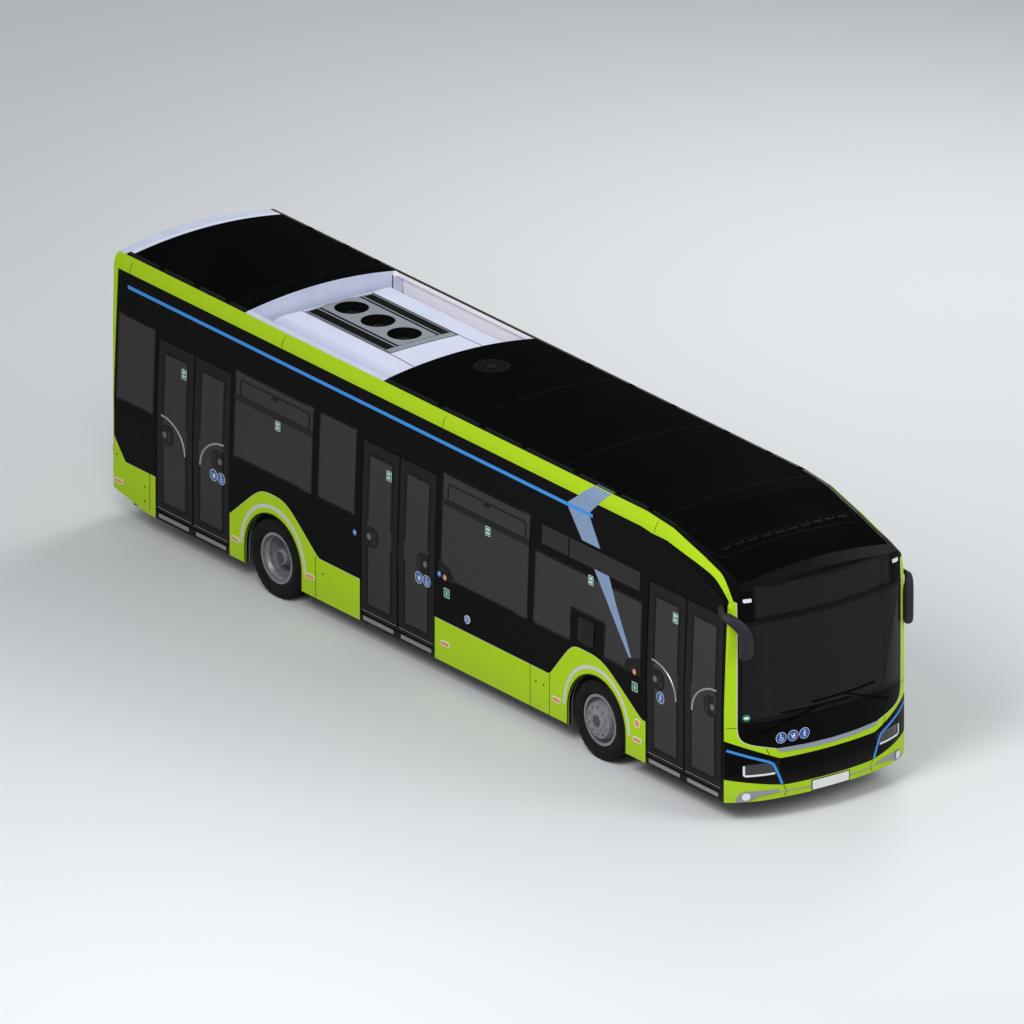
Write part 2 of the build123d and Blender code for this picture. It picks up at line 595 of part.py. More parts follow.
RAIL_Y = 430.0
RAIL_W = 70.0
RAIL_H = 80.0
CROSS_W = 80.0
CROSS_COUNT = 9
frame_top = floor_low - GAP
frame_x = (-HALF_L + 420, HALF_L - 420)
frame = None
for side in (-1, 1):
    rail = block(frame_x, (side * RAIL_Y - RAIL_W / 2, side * RAIL_Y + RAIL_W / 2),
                 (frame_top - RAIL_H, frame_top))
    frame = rail if frame is None else frame + rail
pitch = (frame_x[1] - frame_x[0] - CROSS_W) / (CROSS_COUNT - 1)
for i in range(CROSS_COUNT):
    x0 = frame_x[0] + i * pitch
    near = min(abs(x0 + CROSS_W / 2 - FRONT_AXLE), abs(x0 + CROSS_W / 2 - REAR_AXLE))
    reach = RAIL_Y + RAIL_W / 2 if near < BOX_HALF + 120 else HALF_W - WALL - 10
    frame += block((x0, x0 + CROSS_W), (-reach, reach), (frame_top - RAIL_H * 0.75, frame_top))
EYE_R = 18.0
EYE_L = 60.0
EYE_DROP = 82.0             # bore under the top of the frame, clear of the skirt
eye = block((HALF_L - 480, HALF_L - 320), (-EYE_L / 2, EYE_L / 2), (frame_top - EYE_DROP - 40, frame_top - 5))
eye += block((frame_x[1] - CROSS_W, HALF_L - 460), (-RAIL_Y, RAIL_Y), (frame_top - RAIL_H * 0.75, frame_top))
eye -= rod((HALF_L - 365, -EYE_L, frame_top - EYE_DROP), (HALF_L - 365, EYE_L, frame_top - EYE_DROP), EYE_R)
frame += eye
write("chassis_frame", frame)

# ---------------------------------------------------------------------------
# Wheels: tyres and rims turned about their axles
# ---------------------------------------------------------------------------

def turned(points, x, y, side):
    """Solid of revolution about a wheel axle; points are (outward, radius)."""
    face = make_face(Polyline(*points, close=True))
    plane = Plane(origin=(x, y, TYRE_R), x_dir=(0, side, 0), z_dir=(1, 0, 0))
    placed = plane * face
    return revolve(placed, Axis((x, y, TYRE_R), (0, 1, 0)))


def tyre_points():
    w = TYRE_W / 2
    bead = RIM_W / 2 - FLANGE_T - GAP
    return [(-bead, RIM_R), (-bead, RIM_R + FLANGE_H), (-w + 6, RIM_R + 55), (-w, RIM_R + 105),
            (-w + 8, TYRE_R - 32), (-w + 30, TYRE_R - 4), (-w / 2, TYRE_R), (w / 2, TYRE_R),
            (w - 30, TYRE_R - 4), (w - 8, TYRE_R - 32), (w, RIM_R + 105), (w - 6, RIM_R + 55),
            (bead, RIM_R + FLANGE_H), (bead, RIM_R)]


def barrel_points():
    """Drop-centre rim between its two flanges."""
    b = RIM_W / 2
    f = b - FLANGE_T
    seat = RIM_R - GAP
    top = seat + FLANGE_H
    return [(-b, top), (-f, top), (-f, seat), (-f + 36, seat - 4), (-24, seat - 26), (24, seat - 26),
            (f - 36, seat - 4), (f, seat), (f, top), (b, top), (b, seat - 12), (f - 30, seat - 16),
            (30, seat - 38), (-30, seat - 38), (-f + 30, seat - 16), (-b, seat - 12)]


def steered_centre(face):
    """Disc and hub of a steered wheel: the bolting face stands outside the barrel."""
    foot = RIM_R - 34
    return [(2, foot), (30, foot), (face, BOLT_R + 45), (face + 6, BOLT_R + 34), (face + 6, 125),
            (face + 18, 105), (face + 24, 70), (face + 24, 0), (face - 40, 0), (face - 40, 66),
            (face - DISC_T, 66), (face - DISC_T, BOLT_R + 38)]


def twin_centre(middle, shift):
    """Both dished discs of a twin wheel, face to face at the middle, with the hub."""
    foot = RIM_R - 34
    near = middle + DISC_T
    far = middle - DISC_T
    return [(-2, foot), (near, BOLT_R + 45), (near, 124), (middle + 60, 118), (36, 92), (60, 58),
            (60, 0), (middle - 90, 0), (middle - 90, 110), (far, 124), (far, BOLT_R + 45),
            (shift + 2, foot), (shift + 30, foot), (middle, BOLT_R + 56), (-30, foot)]


FLANGE_T = 9.0
FLANGE_H = 19.0
DISC_T = 14.0
BOLT_R = 167.5
CENTRE_R = 60.0
FACE_FRONT = 134.0          # bolting face outside the rim centre on the steered wheels
NUTS = 10
NUT_R = 16.0
NUT_H = 26.0
wheels = {
    "front_left": (FRONT_AXLE, 1, (TRACK_HALF,)),
    "front_right": (FRONT_AXLE, -1, (TRACK_HALF,)),
    "rear_left": (REAR_AXLE, 1, (TWIN_OUTER, TWIN_INNER)),
    "rear_right": (REAR_AXLE, -1, (TWIN_OUTER, TWIN_INNER)),
}
for name, (x, side, centres) in wheels.items():
    write(f"{name}_tyre", *[turned(tyre_points(), x, side * y, side) for y in centres])
    outer = centres[0]
    rim = turned(barrel_points(), x, side * outer, side)
    if len(centres) == 1:
        face = FACE_FRONT
        rim += turned(steered_centre(face), x, side * outer, side)
    else:
        shift = centres[1] - outer
        face = shift / 2 + DISC_T
        rim += turned([(shift - u, r) for u, r in barrel_points()], x, side * outer, side)
        rim += turned(twin_centre(shift / 2, shift), x, side * outer, side)
    for k in range(NUTS):
        turn = Pos(x, 0, TYRE_R) * Rot(0, 360 / NUTS * k, 0)
        nut_y = side * (outer + face + NUT_H / 2)
        nut = Pos(0, nut_y, BOLT_R) * Rot(90, 0, 0) * extrude(RegularPolygon(NUT_R, 6), NUT_H / 2 + 2, both=True)
        rim += turn * nut
    write(f"{name}_rim", rim)

# ---------------------------------------------------------------------------
# Axles: dropped front beam with steered knuckles, low portal axle at the rear
# ---------------------------------------------------------------------------
BEAM_Z = (165.0, 222.0)
BEAM_X = 45.0
BEAM_END_Y = 880.0
BOSS_R = 42.0
FORK_H = 112.0              # half height of the knuckle fork
EYE_H = 58.0                # half height of the kingpin boss between its arms
PIVOT_GAP = 0.5
PLATE_Y = (48.0, 84.0)      # knuckle plate, outboard of the kingpin
SPINDLE_R = 55.0
PORTAL_R = 150.0

boss_y = KINGPIN_Y - BOSS_R - 12
beam = block((FRONT_AXLE - BEAM_X, FRONT_AXLE + BEAM_X), (-BEAM_END_Y, BEAM_END_Y), BEAM_Z)
for side in (-1, 1):
    rise = Plane.YZ.offset(FRONT_AXLE - BEAM_X) * make_face(Polyline(*[
        (side * y, z) for y, z in (
            (BEAM_END_Y - 110, BEAM_Z[0]), (BEAM_END_Y, BEAM_Z[0]), (boss_y, TYRE_R - EYE_H - 10),
            (boss_y, TYRE_R - EYE_H), (KINGPIN_Y - 10, TYRE_R - EYE_H), (KINGPIN_Y - 10, TYRE_R + EYE_H),
            (boss_y - 45, TYRE_R + EYE_H), (BEAM_END_Y - 40, BEAM_Z[1]), (BEAM_END_Y - 110, BEAM_Z[1]))],
        close=True))
    beam += extrude(rise, 2 * BEAM_X)
    beam += Pos(FRONT_AXLE, side * KINGPIN_Y, TYRE_R) * Cylinder(BOSS_R, 2 * EYE_H)
    beam += block((FRONT_AXLE - 60, FRONT_AXLE + 60), (side * RAIL_Y - 50, side * RAIL_Y + 50),
                  (BEAM_Z[1] - 5, frame_top - RAIL_H - GAP))
write("front_axle", beam)

spindle_end = TRACK_HALF + FACE_FRONT - 40 - GAP
for word, side in (("left", 1), ("right", -1)):
    y = side * KINGPIN_Y
    inner_y, outer_y = (y + side * reach for reach in PLATE_Y)
    across = (min(inner_y, outer_y), max(inner_y, outer_y))
    along = (min(y, outer_y), max(y, outer_y))
    knuckle = block((FRONT_AXLE - 55, FRONT_AXLE + 55), across, (TYRE_R - FORK_H, TYRE_R + FORK_H))
    for low, high in ((TYRE_R - FORK_H, TYRE_R - EYE_H - PIVOT_GAP), (TYRE_R + EYE_H + PIVOT_GAP, TYRE_R + FORK_H)):
        knuckle += Pos(FRONT_AXLE, y, (low + high) / 2) * Cylinder(BOSS_R, high - low)
        knuckle += block((FRONT_AXLE - 40, FRONT_AXLE + 40), along, (low, high))
    knuckle += rod((FRONT_AXLE, inner_y, TYRE_R), (FRONT_AXLE, side * spindle_end, TYRE_R), SPINDLE_R)
    knuckle += rod((FRONT_AXLE, outer_y - side, TYRE_R), (FRONT_AXLE, outer_y + side * 14, TYRE_R), 120)
    write(f"{word}_knuckle", knuckle)

portal_y = (BOX_REAR_Y + BOX_SHEET + 8, TWIN_INNER - TYRE_W / 2 - 8)
twin_hub = (TWIN_OUTER + TWIN_INNER) / 2 - 90
axle = block((REAR_AXLE - 110, REAR_AXLE + 110), (-portal_y[1], portal_y[1]), (BEAM_Z[0] - 15, BEAM_Z[1]))
for side in (-1, 1):
    span = sorted((side * portal_y[0], side * portal_y[1]))
    axle += block((REAR_AXLE - 90, REAR_AXLE + 90), span, (BEAM_Z[1] - 5, TYRE_R + 60))
    axle += rod((REAR_AXLE, side * portal_y[0], TYRE_R), (REAR_AXLE, side * (twin_hub - GAP), TYRE_R), PORTAL_R)
    axle += block((REAR_AXLE - 60, REAR_AXLE + 60), (side * RAIL_Y - 50, side * RAIL_Y + 50),
                  (BEAM_Z[1] - 5, frame_top - RAIL_H - GAP))
write("rear_axle", axle)

# ---------------------------------------------------------------------------
# Doors: leaves, their glass, and the posts that swing them inwards
# ---------------------------------------------------------------------------
leaf_z = (LEAF_Z0, LEAF_Z1)
leaf_skin = skin(LEAF_FLUSH, LEAF_FLUSH + LEAF_T)
post_y = -(PIVOT_Y - POST_IN)
arm_low = (FLOOR_Z + 6, FLOOR_Z + 6 + ARM_T)
arm_high = (LEAF_Z1 + 6, LEAF_Z1 + 6 + ARM_T)
foot_low = FLOOR_Z + GAP
head_high = HEADER_Z + 25 - GAP
for name, hand, edge, pivot_x, post_x in leaf_places():
    span = sorted((edge, edge + hand * LEAF_W))
    leaf = leaf_skin & side_prism(span, leaf_z, -1, 0, inner=HALF_W / 2)
    glass_x = (span[0] + LEAF_FRAME, span[1] - LEAF_FRAME)
    glass_z = (LEAF_GLASS_Z0, LEAF_GLASS_Z1)
    leaf -= side_prism(glass_x, glass_z, -1, 20, grow=-12, inner=HALF_W / 2)
    pane_room = skin(LEAF_FLUSH, LEAF_FLUSH + PANE + GAP)
    leaf -= pane_room & side_prism(glass_x, glass_z, -1, 20, grow=GAP, inner=HALF_W / 2)
    glass = skin(LEAF_FLUSH, LEAF_FLUSH + PANE) & side_prism(glass_x, glass_z, -1, 20, inner=HALF_W / 2)
    low_lug = block((pivot_x - 40, pivot_x + 40), (-HALF_W + LEAF_FLUSH + LEAF_T - 4, -PIVOT_Y + 22),
                    (LEAF_Z0, LEAF_Z0 + 40))
    high_lug = block((pivot_x - 40, pivot_x + 40), (-PIVOT_Y - 20, -PIVOT_Y + 22), (LEAF_Z1 - 40, LEAF_Z1))
    leaf = leaf + low_lug + high_lug
    for z in (LEAF_Z0 + PIN_L / 2 + 2, LEAF_Z1 - PIN_L / 2 - 2):
        leaf -= Pos(pivot_x, -PIVOT_Y, z) * Cylinder(PIN_R + PIN_FIT, PIN_L + 4)
    write(f"{name}_leaf", leaf)
    write(f"{name}_glass", glass)

    post = rod((post_x, post_y, foot_low), (post_x, post_y, head_high), POST_R)
    for low, high in (arm_low, arm_high):
        run = Vector(pivot_x - post_x, -PIVOT_Y - post_y, 0)
        angle = run.get_signed_angle(Vector(1, 0, 0), Vector(0, 0, -1))
        bar = Pos(run.length / 2, 0, 0) * Box(run.length, 2 * ARM_R, high - low)
        post += Pos(post_x, post_y, (low + high) / 2) * Rot(0, 0, angle) * bar
        post += Pos(pivot_x, -PIVOT_Y, (low + high) / 2) * Cylinder(ARM_R, high - low)
        post += Pos(post_x, post_y, (low + high) / 2) * Cylinder(POST_R + 8, high - low)
    post += rod((pivot_x, -PIVOT_Y, arm_low[1] - 1), (pivot_x, -PIVOT_Y, LEAF_Z0 + PIN_L), PIN_R)
    post += rod((pivot_x, -PIVOT_Y, LEAF_Z1 - PIN_L), (pivot_x, -PIVOT_Y, arm_high[0] + 1), PIN_R)
    write(f"{name}_post", post)

# Drive covers above the doors, inside, which also carry the post heads
headers = []
for name in DOORS:
    low, high = door_span(name)
    high = min(high + 90, MASK_X - 10)
    low -= 90
    inside = form(WALL + 4 * GAP) & block((low, high), (-HALF_W, post_y + 120), (head_high + GAP, SEAM_Z - 60))
    headers.append(inside)
write("door_drive_covers", *headers)

# ---------------------------------------------------------------------------
# Inside: seats, handrails, driver's cab
# ---------------------------------------------------------------------------
SEAT_W = 430.0
SEAT_D = 400.0
SEAT_T = 60.0
SEAT_Z = 430.0              # seat height above its floor
BACK_H = 560.0


def seat(x, y, facing, base):
    """One seat shell on a pedestal; facing +1 looks forward."""
    pan = Plane.XZ.offset(-y - SEAT_W / 2) * make_face(Polyline(
        (0, SEAT_Z), (facing * SEAT_D, SEAT_Z + 15), (facing * SEAT_D, SEAT_Z - SEAT_T + 20),
        (-facing * 10, SEAT_Z - SEAT_T), (-facing * (SEAT_T + 95), SEAT_Z + BACK_H),
        (-facing * 95, SEAT_Z + BACK_H + 10), close=True))
    body = extrude(pan, SEAT_W)
    leg = Pos(facing * SEAT_D * 0.45, y, (SEAT_Z - SEAT_T + 10) / 2) * Box(90, 160, SEAT_Z - SEAT_T + 10)
    return Pos(x, 0, base + GAP) * (body + leg)


seats = []
SEAT_PITCH = 780.0
for side_y in (475.0, 935.0):
    x = TAIL_X + 330
    while x < REAR_AXLE - BOX_HALF - 560:
        seats.append(seat(x, side_y, 1, FLOOR_Z))
        x += SEAT_PITCH
    x = REAR_AXLE + BOX_HALF + 260
    while x < FRONT_AXLE - BOX_HALF - 1600:
        seats.append(seat(x, side_y, 1, FLOOR_Z))
        x += SEAT_PITCH
for side_y in (-475.0, -935.0):
    seats.append(seat(TAIL_X + 230, side_y, 1, FLOOR_Z))
    x = middle_door[1] + 420
    while x < FRONT_AXLE - BOX_HALF - 560:
        seats.append(seat(x, side_y, 1, FLOOR_Z))
        x += SEAT_PITCH
for side in (-1, 1):
    for offset_x in (-330, 330):
        low_seat = seat(REAR_AXLE + offset_x, side * 900, 1 if offset_x > 0 else -1,
                        BOX_TOP_Z - SEAT_Z + 60)
        seats.append(low_seat & block((-FAR, FAR), (-FAR, FAR), (BOX_TOP_Z + GAP, FAR)))
write("seats", *seats)

POLE_R = 17.0
poles = []
pole_top = ROOF_PANEL_Z - GAP
for x, y in ((rear_door[0] - 60, -560), (rear_door[1] + 130, -620), (middle_door[0] - 130, -620),
             (middle_door[1] + 150, -640), (front_door[0] - 150, -700), (REAR_AXLE + BOX_HALF + 130, 225),
             (REAR_AXLE - BOX_HALF - 90, 225), (FRONT_AXLE - BOX_HALF - 120, 225)):
    poles.append(rod((x, y, FLOOR_Z + GAP), (x, y, pole_top), POLE_R))
write("handrails", *poles)

CAB_BACK = FRONT_AXLE + 640
cab = block((CAB_BACK, CAB_BACK + 40), (250, HALF_W - WALL - 30), (FLOOR_Z + GAP, 2150))
cab += block((CAB_BACK, CAB_BACK + 1000), (250, 285), (FLOOR_Z + GAP, 1250))
write("driver_partition", cab)
DASH_Z = 1130.0
dash = (form(WALL + GAP) & block((HALF_L - 620, FAR), (60, HALF_W), (FLOOR_Z + GAP, DASH_Z)))
dash -= block((HALF_L - 640, HALF_L - 380), (340, 1020), (0, DASH_Z - 160))
write("dashboard", dash)
drive_x = CAB_BACK + 210
driver_seat = seat(drive_x, 690, 1, FLOOR_Z)
write("driver_seat", driver_seat)
WHEEL_R = 230.0
wheel_spot = Pos(HALF_L - 860, 690, DASH_Z + 20) * Rot(0, 30 + 180, 0)
steering = wheel_spot * Torus(WHEEL_R, 16)
steering += wheel_spot * Cylinder(60, 30)
for k in range(3):
    steering += wheel_spot * Rot(0, 0, 120 * k) * (Pos(WHEEL_R / 2, 0, 0) * Box(WHEEL_R - 16, 36, 14))
column = rod((HALF_L - 860, 690, DASH_Z + 20), (HALF_L - 600, 690, DASH_Z - 130), 28)
column &= block((-FAR, HALF_L - 620 - GAP), (-FAR, FAR), (-FAR, FAR))
steering += column
write("steering_wheel", steering)

# ---------------------------------------------------------------------------
# Mirrors and wipers
# ---------------------------------------------------------------------------
MIRROR_Y = 1390.0           # both mirrors reach this far from the centreline
ARM_PIPE = 38.0
ARM_Z = 2530.0
root_x = MASK_X - 130
root_y = HALF_W - 60.0      # the arms are cut to the skin they are screwed to


def swan_neck(points, radius, bend):
    """Round arm through its points, bent to one radius at each inner point."""
    path = FilletPolyline(*points, radius=bend)
    return sweep(Plane(origin=path @ 0, z_dir=path % 0) * Circle(radius), path=path)


def mirror_head(width, depth, low, high, place, turn):
    """Moulded housing, lofted from its narrow foot over the full width to its neck."""
    rise = high - low
    cuts = ((0.0, 0.72), (0.06, 0.92), (0.20, 1.0), (0.84, 0.97), (0.95, 0.84), (1.0, 0.55))
    rings = [Pos(0, 0, low + share * rise) * RectangleRounded(depth * size, width * size, 0.3 * depth * size)
             for share, size in cuts]
    return Pos(*place) * Rot(0, 0, turn) * loft(rings, ruled=True)


RIGHT_HEAD = (HALF_L - 85, -1140)
arm_y = MIRROR_Y - ARM_PIPE
right = swan_neck([(root_x, -root_y, ARM_Z), (root_x, -arm_y, ARM_Z),
                   (HALF_L - 330, -arm_y, ARM_Z - 12), (*RIGHT_HEAD, ARM_Z - 60), (*RIGHT_HEAD, ARM_Z - 210)],
                  ARM_PIPE, 52)
right += mirror_head(235.0, 135.0, 2060.0, ARM_Z - 75, (*RIGHT_HEAD, 0), -14)
write("right_mirror", right - form(0))
LEFT_HEAD = (HALF_L - 240, 1278)
left = swan_neck([(root_x, root_y, ARM_Z), (root_x, arm_y, ARM_Z), (HALF_L - 350, arm_y, ARM_Z - 30),
                  (*LEFT_HEAD, ARM_Z - 110), (*LEFT_HEAD, ARM_Z - 230)], ARM_PIPE, 52)
left += mirror_head(180.0, 110.0, 1785.0, ARM_Z - 130, (*LEFT_HEAD, 0), 20)
write("left_mirror", left - form(0))

# Wipers: two arms on spindles at the foot of the windscreen, resting across it
WIPER_Z = 1182.0
BLADE_Z = 1262.0
BLADE_L = 740.0
nose_r = (NOSE_FLAT ** 2 + NOSE_BOW ** 2) / (2 * NOSE_BOW)


def nose_x(y, z):
    """Front face of the bowed nose at a place across it and a height."""
    lean = max(0, z - SCREEN_LOW_Z) * SCREEN_LEAN / SCREEN_RISE
    return HALF_L - nose_r + (nose_r ** 2 - y ** 2) ** 0.5 - lean


SPINDLE = 14.0
wipers = []
for hub_y, tip_y in ((780.0, 250.0), (-790.0, -240.0)):
    root = nose_x(abs(hub_y) - SPINDLE, WIPER_Z) + GAP
    hub = (root + 26, hub_y, WIPER_Z)
    wiper = rod((root, hub_y, WIPER_Z), (root + 34, hub_y, WIPER_Z), SPINDLE)
    middle = (nose_x(tip_y, BLADE_Z) + 20, tip_y, BLADE_Z)
    wiper += rod(hub, middle, 9) + Pos(*middle) * Sphere(10)
    for way in (-1, 1):
        end_y = tip_y + way * BLADE_L / 2
        wiper += rod(middle, (nose_x(end_y, BLADE_Z) + 14, end_y, BLADE_Z + way * 18), 7)
    wipers.append(wiper)
write("wipers", *wipers)
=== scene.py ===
import bmesh
import bpy
from math import cos, pi, radians, sin
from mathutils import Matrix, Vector
from mathutils.bvhtree import BVHTree


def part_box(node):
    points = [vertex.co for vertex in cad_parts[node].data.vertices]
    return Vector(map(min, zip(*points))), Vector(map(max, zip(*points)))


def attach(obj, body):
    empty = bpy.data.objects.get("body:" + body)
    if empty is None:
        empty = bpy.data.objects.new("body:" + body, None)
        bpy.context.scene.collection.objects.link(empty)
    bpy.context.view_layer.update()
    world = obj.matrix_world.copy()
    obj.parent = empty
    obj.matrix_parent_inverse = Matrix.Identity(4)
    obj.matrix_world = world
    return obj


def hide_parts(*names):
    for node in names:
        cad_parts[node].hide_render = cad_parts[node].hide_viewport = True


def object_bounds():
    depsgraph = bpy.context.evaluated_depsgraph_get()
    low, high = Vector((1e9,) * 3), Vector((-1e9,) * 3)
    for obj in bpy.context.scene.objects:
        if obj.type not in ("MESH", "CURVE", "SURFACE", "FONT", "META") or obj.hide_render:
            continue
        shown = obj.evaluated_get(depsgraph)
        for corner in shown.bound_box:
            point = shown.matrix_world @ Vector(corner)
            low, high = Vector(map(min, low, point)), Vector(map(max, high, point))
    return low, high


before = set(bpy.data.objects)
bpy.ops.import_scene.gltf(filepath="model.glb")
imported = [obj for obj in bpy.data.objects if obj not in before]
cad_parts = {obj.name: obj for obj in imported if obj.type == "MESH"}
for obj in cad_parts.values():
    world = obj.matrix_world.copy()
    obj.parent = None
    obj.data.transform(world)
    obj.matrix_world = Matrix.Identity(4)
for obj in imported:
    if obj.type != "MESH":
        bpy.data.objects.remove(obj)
cad_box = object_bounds()
nodes = dict(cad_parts)

# ---------------------------------------------------------------------------
# The place it stands: pale floor, soft lamps and a long-lens camera off the front right corner.
# The bus is seen almost without perspective, from 22 degrees above the horizon.
# ---------------------------------------------------------------------------
def linear(colour):
    """sRGB hex colour as linear red, green, blue and alpha."""
    parts = [int(colour[i:i + 2], 16) / 255 for i in (1, 3, 5)]
    return tuple(c / 12.92 if c <= 0.04045 else ((c + 0.055) / 1.055) ** 2.4 for c in parts) + (1.0,)


def add(tree, kind, *links, out=0, named={}, **settings):
    """Adds one shader node with its settings, fills or links its inputs, and returns one output."""
    made = tree.nodes.new("ShaderNode" + kind)
    for name, value in settings.items():
        setattr(made, name, value)
    for key, value in list(enumerate(links)) + list(named.items()):
        if isinstance(value, bpy.types.NodeSocket):
            tree.links.new(value, made.inputs[key])
        else:
            made.inputs[key].default_value = linear(value) if isinstance(value, str) else value
    return made.outputs[out] if made.outputs else made


FLOOR = "#dcdee0"
FLOOR_HALF = 60           # metres from the bus to the end of the floor
world = bpy.data.worlds.new("studio")
world.use_nodes = True
tree = world.node_tree
tree.nodes.clear()
path = tree.nodes.new("ShaderNodeLightPath").outputs
seen = add(tree, "Math", path["Is Camera Ray"], path["Is Glossy Ray"], operation="MAXIMUM")
seen = add(tree, "Math", seen, path["Is Transmission Ray"], operation="MAXIMUM")
level = add(tree, "Math", seen, 0.22, 0.50, operation="MULTIPLY_ADD")
sky = add(tree, "Background", "#f2f4f7", level)
add(tree, "OutputWorld", sky)
bpy.context.scene.world = world

bm = bmesh.new()
bmesh.ops.create_grid(bm, x_segments=24, y_segments=24, size=FLOOR_HALF)
mesh = bpy.data.meshes.new("floor")
bm.to_mesh(mesh)
bm.free()
floor = bpy.data.objects.new("floor", mesh)
bpy.context.scene.collection.objects.link(floor)
floor.location.z = cad_box[0][2] - 0.001
paint = bpy.data.materials.new("Smooth screed")
paint.use_nodes = True
shader = paint.node_tree.nodes["Principled BSDF"]
shader.inputs["Base Color"].default_value = linear(FLOOR)
shader.inputs["Roughness"].default_value = 0.9
shader.inputs["Specular IOR Level"].default_value = 0.1
mesh.materials.append(paint)

for name, place, size, power in (
        ("key", (9, -13, 15), 9, 2300), ("fill", (16, 5, 9), 8, 700), ("far", (-8, 14, 13), 9, 1300)):
    lamp = bpy.data.lights.new(name, "AREA")
    lamp.shape = "DISK"
    lamp.size = size
    lamp.energy = power
    holder = bpy.data.objects.new(name, lamp)
    holder.location = place
    holder.rotation_euler = (Vector((0, 0, 1.2)) - Vector(place)).to_track_quat("-Z", "Y").to_euler()
    bpy.context.scene.collection.objects.link(holder)

AIM = Vector((0.03, 0.0, 1.68))
AROUND = radians(53.334)
ABOVE = radians(21.623)
WIDE = 11.73                # metres across the frame at the bus
LENS = 1400.0
lens = bpy.data.cameras.new("camera")
lens.lens = LENS
lens.sensor_width = 36.0
away = WIDE * LENS / lens.sensor_width
lens.clip_start = away - 60
lens.clip_end = away + 200
camera = bpy.data.objects.new("camera", lens)
back = Vector((sin(AROUND) * cos(ABOVE), -cos(AROUND) * cos(ABOVE), sin(ABOVE)))
camera.location = AIM + away * back
camera.rotation_euler = back.to_track_quat("Z", "Y").to_euler()
bpy.context.scene.collection.objects.link(camera)
bpy.context.scene.camera = camera
bpy.context.scene.view_settings.view_transform = "Standard"

# ---------------------------------------------------------------------------
# Body shell: aluminium side panels, glass-fibre nose, tail and roof, all in two-pack paint.
# Gloss black with a lime skirt, wheel surrounds, rear pillars, cant rails and front pillars.
# ---------------------------------------------------------------------------
LIME = "#a6cb20"
BLACK = "#080808"
PALE = "#b9c48e"            # edge of the lime, where the masking line leaves a thin light rim
WHITE = "#d6dbee"
SKIRT_TOP = 0.771
SURROUNDS = ((-3.711, -3.107, -2.617, -1.978, 1.274), (2.457, 2.886, 3.458, 4.208, 1.271))
BAND = (3.087, 3.248)
SOFT_CORNER, SOFT_TOP, SOFT_JOIN = 0.10, 0.22, 0.05     # how gently the skirt's edge turns
REAR_SWEEP = (-1.19, -5.735)            # slope of the skirt's edge up the rear pillar, and where it starts
NOSE_SWEEP = (-0.46, 5.25)              # and where it falls away towards the nose
TAIL_X, SIDE_HALF = -5.93, 1.267        # the skirt's lime is on the flat sides and on the tail
REAR_PILLAR = (-5.964, 1.10)            # the lime pillars stand behind this x and outside this half width
MASKING = 0.006                         # half height of the light rim
PILLAR_IN = 1.165                       # half width of the black shield round the windscreen
SHIELD_RISE, SHIELD_BASE = 0.27, 0.675  # its foot rises outwards, from this height at the middle
SHIELD_FOOT, SHIELD_ROUND = 0.835, 0.24 # its least height, and the size of its round corners
V_BAND, V_FOOT = (0.443, 0.72, 0.765), 0.745
BUMPER, BUMPER_FOOT = (0.20, 0.62, 0.41), 0.41
NOSE_FALL = ((4.0925, 0.10), (4.5925, 0.1735), (5.1665, 0.0465), (5.6425, 0.06), (5.9325, 0.72))
NARROW_X, TURN_X, TAPER_X = 4.29, 5.34, 5.45    # where the cant rail narrows, turns down and ends
NARROW_BY, TURN_BY, TAPER_BY = 0.09, -0.72, 0.7     # and how fast, the last two with the distance squared
CANT_LEAN = 0.77                        # inward lean of the cant rail, per metre of height
CANT_SKIN = 0.030                       # the paint counts as outside down to this depth
DUST_TOP, DUST_FOOT, DUST_MOST = 0.62, 0.25, 0.22   # heights between which road dust grows, and its most
BUFFER_Z, BUFFER_Y, BUFFER_X = (0.500, 0.048), (0.660, 0.244), -6.02    # the tail's rubber buffers
BELT_Z, WALL_LEAN = 1.375, 0.0435       # above the belt the walls lean in, per metre of height
LINING_HALF, CABIN_HALF, CEILING = 1.228, 5.70, 2.836
MASK_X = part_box("front_mask")[0].x + 0.0005
WELL = (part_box("air_conditioner")[0].x - 0.16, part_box("air_conditioner")[1].x + 0.05)
CANT_FOOT, CANT_HALF = 3.100, 1.200     # where the cant rail starts to curve in, and its half width there
doorways = [(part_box(f"{door}_door_rear_leaf")[0].x - 0.016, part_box(f"{door}_door_front_leaf")[1].x + 0.016)
            for door in ("rear", "middle", "front")]
doorways[2] = (doorways[2][0], MASK_X + 0.01)


def surface(name, colour, rough, metal=0.0, gloss=0.5, grain=0.0, relief=0.0, coat=0.0, spread=0.05):
    """A material with its grain in millimetres: roughness and height vary with that grain."""
    made = bpy.data.materials.new(name)
    made.use_nodes = True
    tree = made.node_tree
    shader = tree.nodes["Principled BSDF"]
    shader.inputs["Base Color"].default_value = linear(colour)
    shader.inputs["Metallic"].default_value = metal
    shader.inputs["Specular IOR Level"].default_value = gloss
    shader.inputs["Coat Weight"].default_value = coat
    place = tree.nodes.new("ShaderNodeTexCoord").outputs["Object"]
    if grain:
        fine = add(tree, "TexNoise", named={"Vector": place, "Scale": 1000 / grain, "Detail": 3.0})
        wide = add(tree, "TexNoise", named={"Vector": place, "Scale": 3.0, "Detail": 4.0})
        both = add(tree, "Math", fine, wide, operation="ADD")
        uneven = add(tree, "MapRange", both, 0.6, 1.4, rough - spread, rough + spread)
        tree.links.new(uneven, shader.inputs["Roughness"])
        bump = add(tree, "Bump", named={"Height": fine, "Strength": 0.35, "Distance": relief / 1000})
        tree.links.new(bump, shader.inputs["Normal"])
    else:
        shader.inputs["Roughness"].default_value = rough
    return made, tree, shader, place


def slant(slope, start, level):
    """Factor and addend of a straight edge that leaves a level at one place."""
    return slope, level - slope * start


